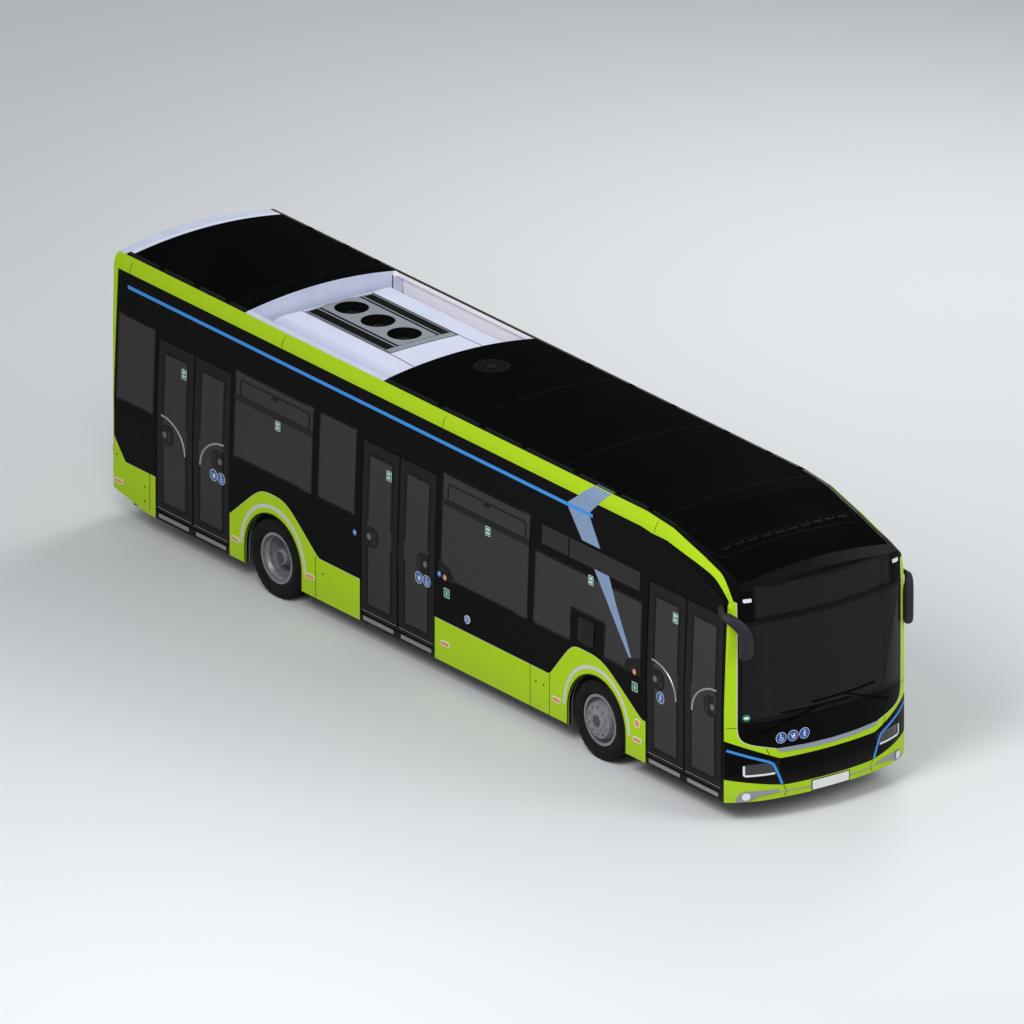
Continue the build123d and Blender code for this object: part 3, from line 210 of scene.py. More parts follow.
def dress(material, *names):
    """Gives CAD nodes one material in place of what they came with."""
    for name in names:
        nodes[name].data.materials.clear()
        nodes[name].data.materials.append(material)


# Two-pack acrylic paint, sprayed and baked: even gloss with faint orange peel and road dust low down
body_paint, tree, shader, place = surface("Two-pack body paint", BLACK, 0.30, gloss=0.035, grain=9,
                                          relief=0.05)
x, y, z = (add(tree, "SeparateXYZ", place, out=i) for i in range(3))
wide = add(tree, "Math", y, operation="ABSOLUTE")
# Skirt: level, swept up into the rear pillar, falling towards the nose, and lifted round both wheels
edge = add(tree, "Math", x, *slant(*REAR_SWEEP, SKIRT_TOP), operation="MULTIPLY_ADD")
edge = add(tree, "Math", edge, SKIRT_TOP, operation="MAXIMUM")
sweep = add(tree, "Math", x, *slant(*NOSE_SWEEP, SKIRT_TOP), operation="MULTIPLY_ADD")
edge = add(tree, "Math", edge, sweep, SOFT_CORNER, operation="SMOOTH_MIN")
for x0, x1, x2, x3, top in SURROUNDS:
    rise = (top - SKIRT_TOP) / (x1 - x0)
    fall = (top - SKIRT_TOP) / (x3 - x2)
    up = add(tree, "Math", x, *slant(rise, x0, SKIRT_TOP), operation="MULTIPLY_ADD")
    down = add(tree, "Math", x, *slant(-fall, x3, SKIRT_TOP), operation="MULTIPLY_ADD")
    both = add(tree, "Math", up, down, SOFT_CORNER, operation="SMOOTH_MIN")
    both = add(tree, "Math", both, top, SOFT_TOP, operation="SMOOTH_MIN")
    edge = add(tree, "Math", edge, both, SOFT_JOIN, operation="SMOOTH_MAX")
skirt = add(tree, "Math", z, edge, operation="LESS_THAN")
face = add(tree, "Math", wide, SIDE_HALF, operation="GREATER_THAN")
tail = add(tree, "Math", x, TAIL_X, operation="LESS_THAN")
face = add(tree, "Math", face, tail, operation="MAXIMUM")
skirt = add(tree, "Math", skirt, face, operation="MULTIPLY")
near = add(tree, "Math", y, 0.0, operation="LESS_THAN")
for low, high in doorways:
    open_x = add(tree, "Math", x, (low + high) / 2, (high - low) / 2, operation="COMPARE")
    open_x = add(tree, "Math", open_x, near, operation="MULTIPLY")
    skirt = add(tree, "Math", skirt, open_x, operation="SUBTRACT", use_clamp=True)
rim = add(tree, "Math", z, edge, MASKING, operation="COMPARE")
rim = add(tree, "Math", rim, skirt, operation="MULTIPLY")
pillar = add(tree, "Math", x, REAR_PILLAR[0], operation="LESS_THAN")
outer = add(tree, "Math", wide, REAR_PILLAR[1], operation="GREATER_THAN")
pillar = add(tree, "Math", pillar, outer, operation="MULTIPLY")
side = add(tree, "Math", skirt, pillar, operation="MAXIMUM")
# Nose: a black shield round the glass, pillars and a V band outside it, a black band, and the bumper
foot = add(tree, "Math", wide, SHIELD_RISE, SHIELD_BASE, operation="MULTIPLY_ADD")
foot = add(tree, "Math", foot, SHIELD_FOOT, operation="MAXIMUM")
inside = add(tree, "Math", z, foot, operation="SUBTRACT")
flank = add(tree, "Math", PILLAR_IN, wide, operation="SUBTRACT")
shield = add(tree, "Math", inside, flank, SHIELD_ROUND, operation="SMOOTH_MIN")
out = add(tree, "Math", shield, 0.0, operation="LESS_THAN")
trim = add(tree, "Math", shield, 0.0, MASKING, operation="COMPARE")
v_low = add(tree, "Math", wide, *slant(*V_BAND), operation="MULTIPLY_ADD")
v_low = add(tree, "Math", v_low, V_FOOT, 0.02, operation="SMOOTH_MAX")
above = add(tree, "Math", z, v_low, operation="GREATER_THAN")
nose = add(tree, "Math", out, above, operation="MULTIPLY")
lip = add(tree, "Math", wide, *slant(*BUMPER), operation="MULTIPLY_ADD")
lip = add(tree, "Math", lip, BUMPER_FOOT, 0.03, operation="SMOOTH_MAX")
bumper = add(tree, "Math", z, lip, operation="LESS_THAN")
nose = add(tree, "Math", nose, bumper, operation="MAXIMUM")
ahead = add(tree, "Math", x, MASK_X, operation="GREATER_THAN")
lime = add(tree, "Mix", named={0: ahead, 2: side, 3: nose})
pale = add(tree, "Mix", named={0: ahead, 2: rim, 3: trim})
# The roof falls towards the nose, and the lime cant rail falls and narrows with it
drop = 0.0
for start, slope in NOSE_FALL:
    past = add(tree, "Math", x, start, operation="SUBTRACT")
    past = add(tree, "Math", past, 0.0, operation="MAXIMUM")
    drop = add(tree, "Math", past, slope, drop, operation="MULTIPLY_ADD")
height = add(tree, "Math", z, drop, operation="ADD")
narrow = add(tree, "Math", x, NARROW_X, operation="SUBTRACT")
narrow = add(tree, "Math", narrow, 0.0, operation="MAXIMUM")
foot = add(tree, "Math", narrow, NARROW_BY, BAND[0], operation="MULTIPLY_ADD")
turn = add(tree, "Math", x, TURN_X, operation="SUBTRACT")
turn = add(tree, "Math", turn, 0.0, operation="MAXIMUM")
turn = add(tree, "Math", turn, 2.0, operation="POWER")
foot = add(tree, "Math", turn, TURN_BY, foot, operation="MULTIPLY_ADD")
behind = add(tree, "Math", 1.0, ahead, operation="SUBTRACT")
band = add(tree, "Math", height, foot, operation="GREATER_THAN")
band = add(tree, "Math", band, behind, operation="MULTIPLY")
bend = add(tree, "Math", height, CANT_FOOT, operation="SUBTRACT")
bend = add(tree, "Math", bend, 0.0, operation="MAXIMUM")
inner = add(tree, "Math", bend, -CANT_LEAN, CANT_HALF - CANT_SKIN, operation="MULTIPLY_ADD")
skin = add(tree, "Math", wide, inner, operation="GREATER_THAN")
band = add(tree, "Math", band, skin, operation="MULTIPLY")
lime = add(tree, "Math", lime, band, operation="MAXIMUM")
taper = add(tree, "Math", x, TAPER_X, operation="SUBTRACT")
taper = add(tree, "Math", taper, 0.0, operation="MAXIMUM")
taper = add(tree, "Math", taper, 2.0, operation="POWER")
taper = add(tree, "Math", taper, TAPER_BY, height, operation="MULTIPLY_ADD")
under = add(tree, "Math", taper, BAND[1], operation="LESS_THAN")
lime = add(tree, "Math", lime, under, operation="MULTIPLY")
pale = add(tree, "Math", pale, under, operation="MULTIPLY")
grime = add(tree, "TexNoise", named={"Vector": place, "Scale": 2.5, "Detail": 6.0})
road = add(tree, "MapRange", z, DUST_TOP, DUST_FOOT, 0.0, DUST_MOST)
grime = add(tree, "Math", grime, road, operation="MULTIPLY")
shade = add(tree, "Mix", named={0: lime, 6: BLACK, 7: LIME}, out=2, data_type="RGBA")
shade = add(tree, "Mix", named={0: pale, 6: shade, 7: PALE}, out=2, data_type="RGBA")
shade = add(tree, "Mix", named={0: grime, 6: shade, 7: "#6d675c"}, out=2, data_type="RGBA")
# Inside, the walls are lined in light grey laminate
lean = add(tree, "Math", z, BELT_Z, operation="SUBTRACT")
lean = add(tree, "Math", lean, 0.0, operation="MAXIMUM")
lined = add(tree, "Math", lean, -WALL_LEAN, LINING_HALF, operation="MULTIPLY_ADD")
lined = add(tree, "Math", wide, lined, operation="LESS_THAN")
cabin = add(tree, "Math", x, 0.0, CABIN_HALF, operation="COMPARE")
lined = add(tree, "Math", lined, cabin, operation="MULTIPLY")
below = add(tree, "Math", z, CEILING, operation="LESS_THAN")
lined = add(tree, "Math", lined, below, operation="MULTIPLY")
shade = add(tree, "Mix", named={0: lined, 6: shade, 7: "#77797b"}, out=2, data_type="RGBA")
# The buffers at the foot of the tail are bare black rubber
rubber = add(tree, "Math", z, *BUFFER_Z, operation="COMPARE")
wing = add(tree, "Math", wide, *BUFFER_Y, operation="COMPARE")
rubber = add(tree, "Math", rubber, wing, operation="MULTIPLY")
behind = add(tree, "Math", x, BUFFER_X, operation="LESS_THAN")
rubber = add(tree, "Math", rubber, behind, operation="MULTIPLY")
shade = add(tree, "Mix", named={0: rubber, 6: shade, 7: "#121212"}, out=2, data_type="RGBA")
tree.links.new(shade, shader.inputs["Base Color"])
dress(body_paint, "right_side_wall", "left_side_wall", "rear_wall", "front_mask", "front_bumper")

# The roof has the cant rail in lime too, and white gel coat in the air conditioner well and at the tail
roof_paint = body_paint.copy()
roof_paint.name = "Two-pack roof paint over gel coat"
tree = roof_paint.node_tree
shader = tree.nodes["Principled BSDF"]
place = tree.nodes.new("ShaderNodeTexCoord").outputs["Object"]
x, y, z = (add(tree, "SeparateXYZ", place, out=i) for i in range(3))
wide = add(tree, "Math", y, operation="ABSOLUTE")
bend = add(tree, "Math", z, CANT_FOOT, operation="SUBTRACT")
bend = add(tree, "Math", bend, 0.0, operation="MAXIMUM")
inner = add(tree, "Math", bend, -CANT_LEAN, CANT_HALF - CANT_SKIN, operation="MULTIPLY_ADD")
well = add(tree, "Math", x, sum(WELL) / 2, (WELL[1] - WELL[0]) / 2, operation="COMPARE")
tail = add(tree, "Math", x, TAIL_X, operation="LESS_THAN")
white = add(tree, "Math", well, tail, operation="MAXIMUM")
inner = add(tree, "Math", wide, inner, operation="LESS_THAN")
crest = add(tree, "Math", z, BAND[1], operation="GREATER_THAN")
near = add(tree, "Math", y, 0.0, operation="LESS_THAN")
crest = add(tree, "Math", crest, near, operation="MULTIPLY")
inner = add(tree, "Math", inner, crest, operation="MAXIMUM")
white = add(tree, "Math", white, inner, operation="MULTIPLY")
high = add(tree, "Math", z, CEILING, operation="GREATER_THAN")
white = add(tree, "Math", white, high, operation="MULTIPLY")
stain = add(tree, "TexNoise", named={"Vector": place, "Scale": 4.0, "Detail": 5.0})
gel = add(tree, "Mix", named={0: stain, 6: WHITE, 7: "#b9bfd2"}, out=2, data_type="RGBA")
# The far wall of the well is painted a brighter, pinker white than the rest of the gel coat: a painted
# highlight for the light that falls on that wall
lit_far_wall = add(tree, "Math", y, 1.0, operation="GREATER_THAN")
lit_far_wall = add(tree, "Math", lit_far_wall, well, operation="MULTIPLY")
gel = add(tree, "Mix", named={0: lit_far_wall, 6: gel, 7: "#fffbfd"}, out=2, data_type="RGBA")
before = shader.inputs["Base Color"].links[0].from_socket
shade = add(tree, "Mix", named={0: white, 6: before, 7: gel}, out=2, data_type="RGBA")
tree.links.new(shade, shader.inputs["Base Color"])
dress(roof_paint, "roof_shell")

# ---------------------------------------------------------------------------
# Left side panel: one skin of sheet aluminium, drawn here with its wheel openings turned the right way up.
# They are half round above the hub and straight below it, as on the right.
# ---------------------------------------------------------------------------
ARCH_R = 0.536
EASE = 0.0005               # the filled corners reach this far into the panel
wall = nodes["left_side_wall"]
axles = [(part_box(f"{end}_right_tyre")[0].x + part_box(f"{end}_right_tyre")[1].x) / 2
         for end in ("front", "rear")]
tyre_r = (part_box("front_right_tyre")[1].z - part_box("front_right_tyre")[0].z) / 2


def arc(a, b, r, start, end, steps=24):
    """Points of an arc between two angles in degrees."""
    turns = [radians(start + (end - start) * i / steps) for i in range(steps + 1)]
    return [(a + r * cos(t), b + r * sin(t)) for t in turns]


def cut(target, operation, outline, low, high):
    """Joins to a mesh object, or takes from it, the prism of an outline in X and Z between two Y."""
    bm = bmesh.new()
    near = [bm.verts.new((a, low, b)) for a, b in outline]
    far = [bm.verts.new((a, high, b)) for a, b in outline]
    bm.faces.new(near)
    bm.faces.new(far)
    for i in range(len(outline)):
        bm.faces.new((near[i - 1], near[i], far[i], far[i - 1]))
    bmesh.ops.recalc_face_normals(bm, faces=bm.faces[:])
    mesh = bpy.data.meshes.new("tool")
    bm.to_mesh(mesh)
    bm.free()
    tool = bpy.data.objects.new("tool", mesh)
    bpy.context.scene.collection.objects.link(tool)
    both = target.modifiers.new("cut", "BOOLEAN")
    both.operation = operation
    both.object = tool
    bpy.context.view_layer.update()
    result = bpy.data.meshes.new_from_object(target.evaluated_get(bpy.context.evaluated_depsgraph_get()))
    target.modifiers.clear()
    target.data = result
    bpy.data.objects.remove(tool)


bm = bmesh.new()
bm.from_mesh(wall.data)
bmesh.ops.remove_doubles(bm, verts=bm.verts[:], dist=1e-6)
tree = BVHTree.FromBMesh(bm)
beside = Vector((axles[0] + ARCH_R + 0.05, 9, tyre_r + 0.3))
skin_y = tree.ray_cast(beside, Vector((0, -1, 0)))[0].y
inside_y = tree.ray_cast(Vector((beside.x, 0.9, beside.z)), Vector((0, 1, 0)))[0].y
mesh = bpy.data.meshes.new("left_side_panel")
bm.to_mesh(mesh)
bm.free()
panel = bpy.data.objects.new("left_side_panel", mesh)
bpy.context.scene.collection.objects.link(panel)
for axle in axles:
    for side in (-1, 1):
        far = side * (ARCH_R + EASE)
        corner = [(axle + far, tyre_r), (axle + far, tyre_r + ARCH_R + EASE),
                  (axle, tyre_r + ARCH_R + EASE)]
        corner += arc(axle, tyre_r, ARCH_R, 90, 90 - side * 90)
        cut(panel, "UNION", corner, inside_y, skin_y)
    leg = [(axle - ARCH_R, 0.1), (axle + ARCH_R, 0.1), (axle + ARCH_R, tyre_r), (axle - ARCH_R, tyre_r)]
    cut(panel, "DIFFERENCE", leg, 1.1, 1.4)
nodes["left_side_wall"] = panel
dress(body_paint, "left_side_wall")
panel.data.shade_smooth()
panel.data.set_sharp_from_angle(angle=radians(30))
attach(panel, "body")
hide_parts("left_side_wall")

# ---------------------------------------------------------------------------
# Panel joints: every panel of the shell ends in an open joint with a dark sealant line in it.
# They show where skirt flaps, side panels, cant rail lengths and roof covers can come off.
# ---------------------------------------------------------------------------
VIEWS = {                   # seen from each way: across, up, and out towards the eye
    "right": (Vector((1, 0, 0)), Vector((0, 0, 1)), Vector((0, -1, 0))),
    "left": (Vector((1, 0, 0)), Vector((0, 0, 1)), Vector((0, 1, 0))),
    "front": (Vector((0, 1, 0)), Vector((0, 0, 1)), Vector((1, 0, 0))),
    "rear": (Vector((0, 1, 0)), Vector((0, 0, 1)), Vector((-1, 0, 0))),
    "top": (Vector((1, 0, 0)), Vector((0, 1, 0)), Vector((0, 0, 1))),
}


def shell_of(*names):
    """Surface of some CAD nodes, on which thin pieces are laid."""
    corners, faces = [], []
    for name in names:
        mesh = nodes[name].data
        start = len(corners)
        corners += [v.co.copy() for v in mesh.vertices]
        faces += [[start + i for i in p.vertices] for p in mesh.polygons]
    return BVHTree.FromPolygons(corners, faces)


def lay(bm, outlines, view, shell, thick, step=0.08, lift=-0.001):
    """Adds a thin plate laid on a shell: outlines as seen in that view, cut at every step to follow it."""
    across, up, out = VIEWS[view]
    work = bmesh.new()
    for outline in outlines:
        work.faces.new([work.verts.new(across * a + up * b) for a, b in outline])
    bmesh.ops.remove_doubles(work, verts=work.verts[:], dist=1e-5)
    for axis in (across, up):
        places = [v.co.dot(axis) for v in work.verts]
        count = int((max(places) - min(places)) / step)
        for i in range(1, count + 1):
            cut = axis * (min(places) + (max(places) - min(places)) * i / (count + 1))
            bmesh.ops.bisect_plane(work, geom=work.verts[:] + work.edges[:] + work.faces[:],
                                   plane_co=cut, plane_no=axis)
    bmesh.ops.triangulate(work, faces=work.faces[:])
    for vert in work.verts:
        spot = shell.ray_cast(vert.co + out * 9, -out)[0]
        if spot is None:
            spot = shell.find_nearest(vert.co + out * 2)[0]
        vert.co = spot + out * lift
    grown = bmesh.ops.extrude_face_region(work, geom=work.faces[:])["geom"]
    for vert in (g for g in grown if isinstance(g, bmesh.types.BMVert)):
        vert.co += out * thick
    bmesh.ops.recalc_face_normals(work, faces=work.faces[:])
    mesh = bpy.data.meshes.new("part")
    work.to_mesh(mesh)
    work.free()
    bm.from_mesh(mesh)
    bpy.data.meshes.remove(mesh)


def piece(name, bm, material, body="body", crease=35, edge=0.0):
    """Finishes a mesh as one piece that rides on a body."""
    mesh = bpy.data.meshes.new(name)
    bm.to_mesh(mesh)
    bm.free()
    mesh.materials.append(material)
    mesh.shade_smooth()
    mesh.set_sharp_from_angle(angle=radians(crease))
    made = bpy.data.objects.new(name, mesh)
    bpy.context.scene.collection.objects.link(made)
    if edge:
        soft = made.modifiers.new("edge", "BEVEL")
        soft.width = edge
        soft.segments = 2
        soft.limit_method = "ANGLE"
    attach(made, body)
    return made


def strip(line, width):
    """Quads of a band of one width along a line."""
    sides = []
    for i, (a, b) in enumerate(line):
        before = Vector(line[max(i - 1, 0)])
        after = Vector(line[min(i + 1, len(line) - 1)])
        run = (after - before).normalized()
        sides.append(((a - run.y * width / 2, b + run.x * width / 2),
                      (a + run.y * width / 2, b - run.x * width / 2)))
    return [(p[0], p[1], q[1], q[0]) for p, q in zip(sides, sides[1:])]


def oblong(left, right, low, high):
    """Outline of a rectangle."""
    return [(left, low), (right, low), (right, high), (left, high)]


def rounded(left, right, low, high, r, steps=5):
    """Outline of a rectangle with round corners."""
    ring = []
    for a, b, turn in ((right - r, high - r, 0), (left + r, high - r, 90), (left + r, low + r, 180),
                       (right - r, low + r, 270)):
        for i in range(steps + 1):
            angle = radians(turn + 90 * i / steps)
            ring.append((a + r * cos(angle), b + r * sin(angle)))
    return ring


def patch(a, b, half_w, half_h, r):
    """Outline of a rectangle with round corners, round its middle."""
    return rounded(a - half_w, a + half_w, b - half_h, b + half_h, r)


def disc(a, b, r, steps=28):
    """Outline of a disc."""
    return [(a + r * cos(2 * pi * i / steps), b + r * sin(2 * pi * i / steps)) for i in range(steps)]


# Polyurethane sealant: matt and a little pitted
sealant, tree, shader, place = surface("Polyurethane sealant", "#141414", 0.7, gloss=0.2, grain=6,
                                       relief=0.3)
shader.inputs["IOR"].default_value = 1.15
JOINT, FINE_JOINT = 0.009, 0.008        # widths of the lines of sealant
JOINT_TOP = 0.0026                      # they are 2.6 mm thick, and let 2 mm into the panels
rear_x = cad_box[0][0]
body_shell = shell_of("right_side_wall", "left_side_wall", "roof_shell", "front_mask", "front_bumper",
                      "rear_wall", "roof_covers", "side_windows", "charging_flap")
BELT_SEAM, CANT_SEAM = 1.229, 2.765     # heights of the long joints
SKIRT_FOOT, PANEL_TOP = 0.265, 2.76
CANT_SEAMS = (-5.735, -2.78, 0.32, 4.35)
WHEEL_GAPS = ((-3.35, -2.37), (2.83, 3.52))     # the belt joint stops at the wheel surrounds
doors_x = {}
for door in ("rear", "middle", "front"):
    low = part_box(f"{door}_door_rear_leaf")[0].x - 0.009
    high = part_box(f"{door}_door_front_leaf")[1].x + 0.009
    doors_x[door] = (low, high)


def joint(bm, line, view, shell, width, step, thick=JOINT_TOP):
    """Adds a line of sealant, let into the panels."""
    lay(bm, strip(line, width), view, shell, thick, step, lift=-0.002)


bm = bmesh.new()
for view, blocks in (("right", [doors_x[d] for d in ("rear", "middle", "front")]), ("left", [])):
    spans = []
    start = rear_x + 0.16
    for low, high in blocks + [(5.755, 0)]:
        spans.append((start, low - 0.012))
        start = high + 0.012
    for low, high in spans:
        if high - low > 0.3:
            for from_x, to_x in ((low, min(high, WHEEL_GAPS[0][0])),
                                 (max(low, WHEEL_GAPS[0][1]), min(high, WHEEL_GAPS[1][0])),
                                 (max(low, WHEEL_GAPS[1][1]), high)):
                if to_x - from_x > 0.2:
                    joint(bm, [(from_x, BELT_SEAM), (to_x, BELT_SEAM)], view, body_shell, JOINT * 0.8, 0.4)
    joint(bm, [(rear_x + 0.16, CANT_SEAM), (5.74, CANT_SEAM)], view, body_shell, JOINT, 0.3)
    upright = [(-5.263, 0.33, SKIRT_TOP), (-2.035, SKIRT_FOOT, SKIRT_TOP), (2.09, SKIRT_FOOT, BELT_SEAM),
               (2.457, SKIRT_FOOT, SKIRT_TOP)]
    upright += [(x, 2.58, BAND[0]) for x in CANT_SEAMS[:3]]
    upright += [(-3.64, BELT_SEAM, PANEL_TOP), (-2.06, BELT_SEAM, PANEL_TOP), (2.096, 1.3, PANEL_TOP)]
    if view == "left":
        upright += [(-4.4, 0.3, BELT_SEAM)] + [(x, SKIRT_FOOT, BELT_SEAM) for x in (-1.1, 0.5, 4.3, 5.0)]
    for x, low, high in upright:
        joint(bm, [(x, low), (x, high)], view, body_shell, JOINT, 0.12)
    for x in CANT_SEAMS:
        joint(bm, [(x, 3.09), (x, 3.235)], view, body_shell, JOINT, 0.02)
# Cover joints across the roof, and the long folds beside them
FOLD = 1.052                            # half width at which the covers end
for x in (-3.88, 0.65, 2.45, 4.333):
    joint(bm, [(x, -1.04), (x, 1.04)], "top", body_shell, 0.007, 0.12, 0.0030)
for side in (-1, 1):
    for low, high in ((rear_x + 0.2, -3.65), (-0.9, 4.25)):
        joint(bm, [(low, side * FOLD), (high, side * FOLD)], "top", body_shell, FINE_JOINT, 0.4, 0.0030)
    nose_fold = [(4.25, side * FOLD), (4.7, side * 1.05), (5.05, side * 1.035), (5.25, side * 0.99),
                 (5.33, side * 0.92)]
    joint(bm, nose_fold, "top", body_shell, FINE_JOINT, 0.1, 0.0030)
joint(bm, [(5.33, -0.92 + 0.046 * i) for i in range(41)], "top", body_shell, FINE_JOINT, 0.1, 0.0030)
piece("panel_joints", bm, sealant)

# ---------------------------------------------------------------------------
# Film stripes: cast vinyl laid over the paint with a squeegee, edges sealed.
# A thin blue line under the cant rail and a slate-blue slash that falls down over the glass.
# ---------------------------------------------------------------------------
# Cast vinyl film: smoother than paint, semi-gloss
def film(name, colour):
    """A cast film in one colour."""
    return surface(name, colour, 0.38, gloss=0.3, grain=14, relief=0.02)[0]


blue_film = film("Sky blue vinyl film", "#3289d8")
slate_film = film("Slate blue vinyl film", "#7a90b0")
LINE_Z, LINE_W = 2.92, 0.042
LINE_FROM, LINE_TO = -5.763, 3.193
for view in ("right", "left"):
    bm = bmesh.new()
    lay(bm, strip([(LINE_FROM, LINE_Z), (LINE_TO, LINE_Z)], LINE_W), view, body_shell, 0.0030, 0.3)
    piece(f"blue_line_{view}", bm, blue_film)
    bm = bmesh.new()
    lay(bm, [[(2.712, 2.942), (2.912, 3.087), (3.125, 3.258), (3.453, 3.258), (3.284, 3.087), (3.18, 2.99),
              (3.132, 2.942)]], view, body_shell, 0.0030, 0.02)
    lay(bm, [[(2.724, 2.898), (3.017, 2.577), (3.36, 2.577), (3.136, 2.898)]], view, body_shell, 0.0022)
    lay(bm, [[(3.25, 2.32), (3.535, 2.32), (3.70, 2.0), (3.894, 1.671), (4.017, 1.451), (3.965, 1.457),
              (3.751, 1.714), (3.508, 2.014)]], view, body_shell, 0.0022)
    piece(f"slash_{view}", bm, slate_film)

# ---------------------------------------------------------------------------
# Bonded glass: toughened, tinted panes glued flush into the side, nose and tail.
# A black ceramic border is fired round each pane to hide and protect the glue.
# ---------------------------------------------------------------------------
# Privacy-tinted float glass: nearly black, mirror smooth, the cabin only shows through as shapes
tinted, tree, shader, place = surface("Privacy-tinted float glass", "#343333", 0.05, gloss=0.10)
shader.inputs["Alpha"].default_value = 0.93
dust = add(tree, "TexNoise", named={"Vector": place, "Scale": 2.2, "Detail": 6.0, "Roughness": 0.65})
veil = add(tree, "MapRange", dust, 0.35, 0.75, 0.05, 0.16)
tree.links.new(veil, shader.inputs["Roughness"])
# Windscreen glass is a cooler grey
screen_glass, tree, shader, place = surface("Laminated windscreen", "#19191a", 0.05, gloss=0.10)
shader.inputs["Alpha"].default_value = 0.94
dust = add(tree, "TexNoise", named={"Vector": place, "Scale": 2.2, "Detail": 6.0, "Roughness": 0.65})
veil = add(tree, "MapRange", dust, 0.35, 0.75, 0.04, 0.13)
tree.links.new(veil, shader.inputs["Roughness"])
dress(screen_glass, "windscreen")
dress(tinted, "side_windows", "rear_window", *(name for name in nodes if name.endswith("_glass")))


def frame_of(left, right, low, high, r, width):
    """Quads of a closed frame of one width inside a rectangle with round corners."""
    outer = rounded(left, right, low, high, r)
    inner = rounded(left + width, right - width, low + width, high - width, max(r - width, 0.004))
    count = len(outer)
    return [(outer[i], outer[(i + 1) % count], inner[(i + 1) % count], inner[i]) for i in range(count)]


def rim_of(a, b, half_w, half_h, r, width):
    """Quads of a closed frame of one width, round its middle."""
    return frame_of(a - half_w, a + half_w, b - half_h, b + half_h, r, width)


# Fired ceramic border: satin black
ceramic = surface("Fired ceramic border", "#0a0a0b", 0.32, gloss=0.08, grain=4, relief=0.02)[0]
window_shell = shell_of("side_windows", "right_side_wall", "left_side_wall")
SILL, HIGH_SILL, PANE_TOP = 1.300, 1.514, 2.575     # panes over the rear boxes have the high sill
LAST_X, PITCH, PIER = -5.9245, 1.6882, 0.105
TRANSOM = 2.190                         # the foremost right pane ends here, under the route displays
RIGHT_PANES = ((LAST_X, -5.203, HIGH_SILL, PANE_TOP), (-3.641, -2.113, HIGH_SILL, PANE_TOP),
               (-2.008, -1.280, HIGH_SILL, PANE_TOP), (0.362, 2.044, SILL, PANE_TOP),
               (2.149, 4.184, SILL, TRANSOM))
LEFT_PANES = [(LAST_X + PITCH * i, LAST_X + PITCH * (i + 1) - PIER, SILL, PANE_TOP) for i in range(6)]
LEFT_PANES.append((4.205, 5.5655, SILL, PANE_TOP))
BOX = (2.853, 3.495, 1.714)             # the pane is cut away round the front wheel box
bm = bmesh.new()
for view, panes in (("right", RIGHT_PANES), ("left", LEFT_PANES)):
    for i, (left, right, low, high) in enumerate(panes):
        if view == "right" and i == 4:
            ring = [(left, low), (BOX[0], low), (BOX[0], BOX[2]), (BOX[1], BOX[2]), (BOX[1], low),
                    (right, low), (right, high), (left, high), (left, low)]
            for a, b in zip(ring, ring[1:]):
                lay(bm, strip([a, b], 0.030), view, window_shell, 0.0020, 0.3)
        else:
            lay(bm, frame_of(left, right, low, high, 0.045, 0.020), view, window_shell, 0.0020, 0.3)
piece("glass_borders", bm, ceramic)

# Hopper windows: a slim aluminium frame across the top of five panes, the light above tilts in
# Anodised black aluminium: even, silky
anodised = surface("Black anodised aluminium", "#111112", 0.35, metal=0.6, gloss=0.3, grain=2,
                   relief=0.02)[0]
hoppers = [("right", *RIGHT_PANES[1][:2], 2.210), ("right", *RIGHT_PANES[3][:2], TRANSOM)]
hoppers += [("left", *LEFT_PANES[i][:2], TRANSOM) for i in (1, 3, 5)]
bm = bmesh.new()
for view, left, right, low in hoppers:
    lay(bm, [oblong(left + 0.004, right - 0.004, low, low + 0.065)], view, window_shell, 0.009, 0.3)
    lay(bm, frame_of(left + 0.10, right - 0.08, low + 0.055, low + 0.275, 0.035, 0.020), view, window_shell,
        0.007, 0.3)
piece("hopper_frames", bm, anodised, edge=0.002)
# Each has a small catch at the middle of its upper edge
bm = bmesh.new()
for view, left, right, low in hoppers:
    middle = (left + right) / 2
    lay(bm, [rounded(middle - 0.05, middle + 0.05, low + 0.215, low + 0.245, 0.012)], view, window_shell,
        0.012, lift=0.003)
piece("hopper_catches", bm, anodised, edge=0.002)

# Route displays: two panels of smoked acrylic, unlit, above the foremost right window
smoked = surface("Smoked acrylic", "#1d1d1a", 0.12, gloss=0.16, grain=30, relief=0.01, spread=0.03)[0]
bm = bmesh.new()
for left, right in ((2.265, 2.765), (2.788, 4.122)):
    lay(bm, [rounded(left, right, 2.305, 2.535, 0.008)], "right", window_shell, 0.003, 0.12)
piece("route_displays", bm, smoked)
# Corner panels: the moulded black housings of the outside door controls, set into the window corners
corner_plastic = surface("Moulded black ABS", "#0c0c0c", 0.42, gloss=0.15, grain=1.5, relief=0.06)[0]
bm = bmesh.new()
lay(bm, [[(3.865, 1.285), (3.89, 1.36), (3.92, 1.42), (3.98, 1.455), (4.18, 1.495), (4.20, 1.285)]],
    "right", window_shell, 0.006)
lay(bm, [[(0.345, 1.285), (0.345, 1.50), (0.44, 1.47), (0.54, 1.44), (0.60, 1.38), (0.64, 1.285)]], "right",
    window_shell, 0.006)
lay(bm, frame_of(3.93, 4.27, 1.24, 1.42, 0.05, 0.006), "right", window_shell, 0.004, lift=0.004)
lay(bm, frame_of(0.30, 0.55, 1.24, 1.42, 0.05, 0.006), "right", window_shell, 0.004, lift=0.004)
lay(bm, frame_of(-1.46, -1.20, 1.235, 1.445, 0.05, 0.006), "right", window_shell, 0.004, lift=0.0)
piece("control_panels", bm, corner_plastic, edge=0.0015)

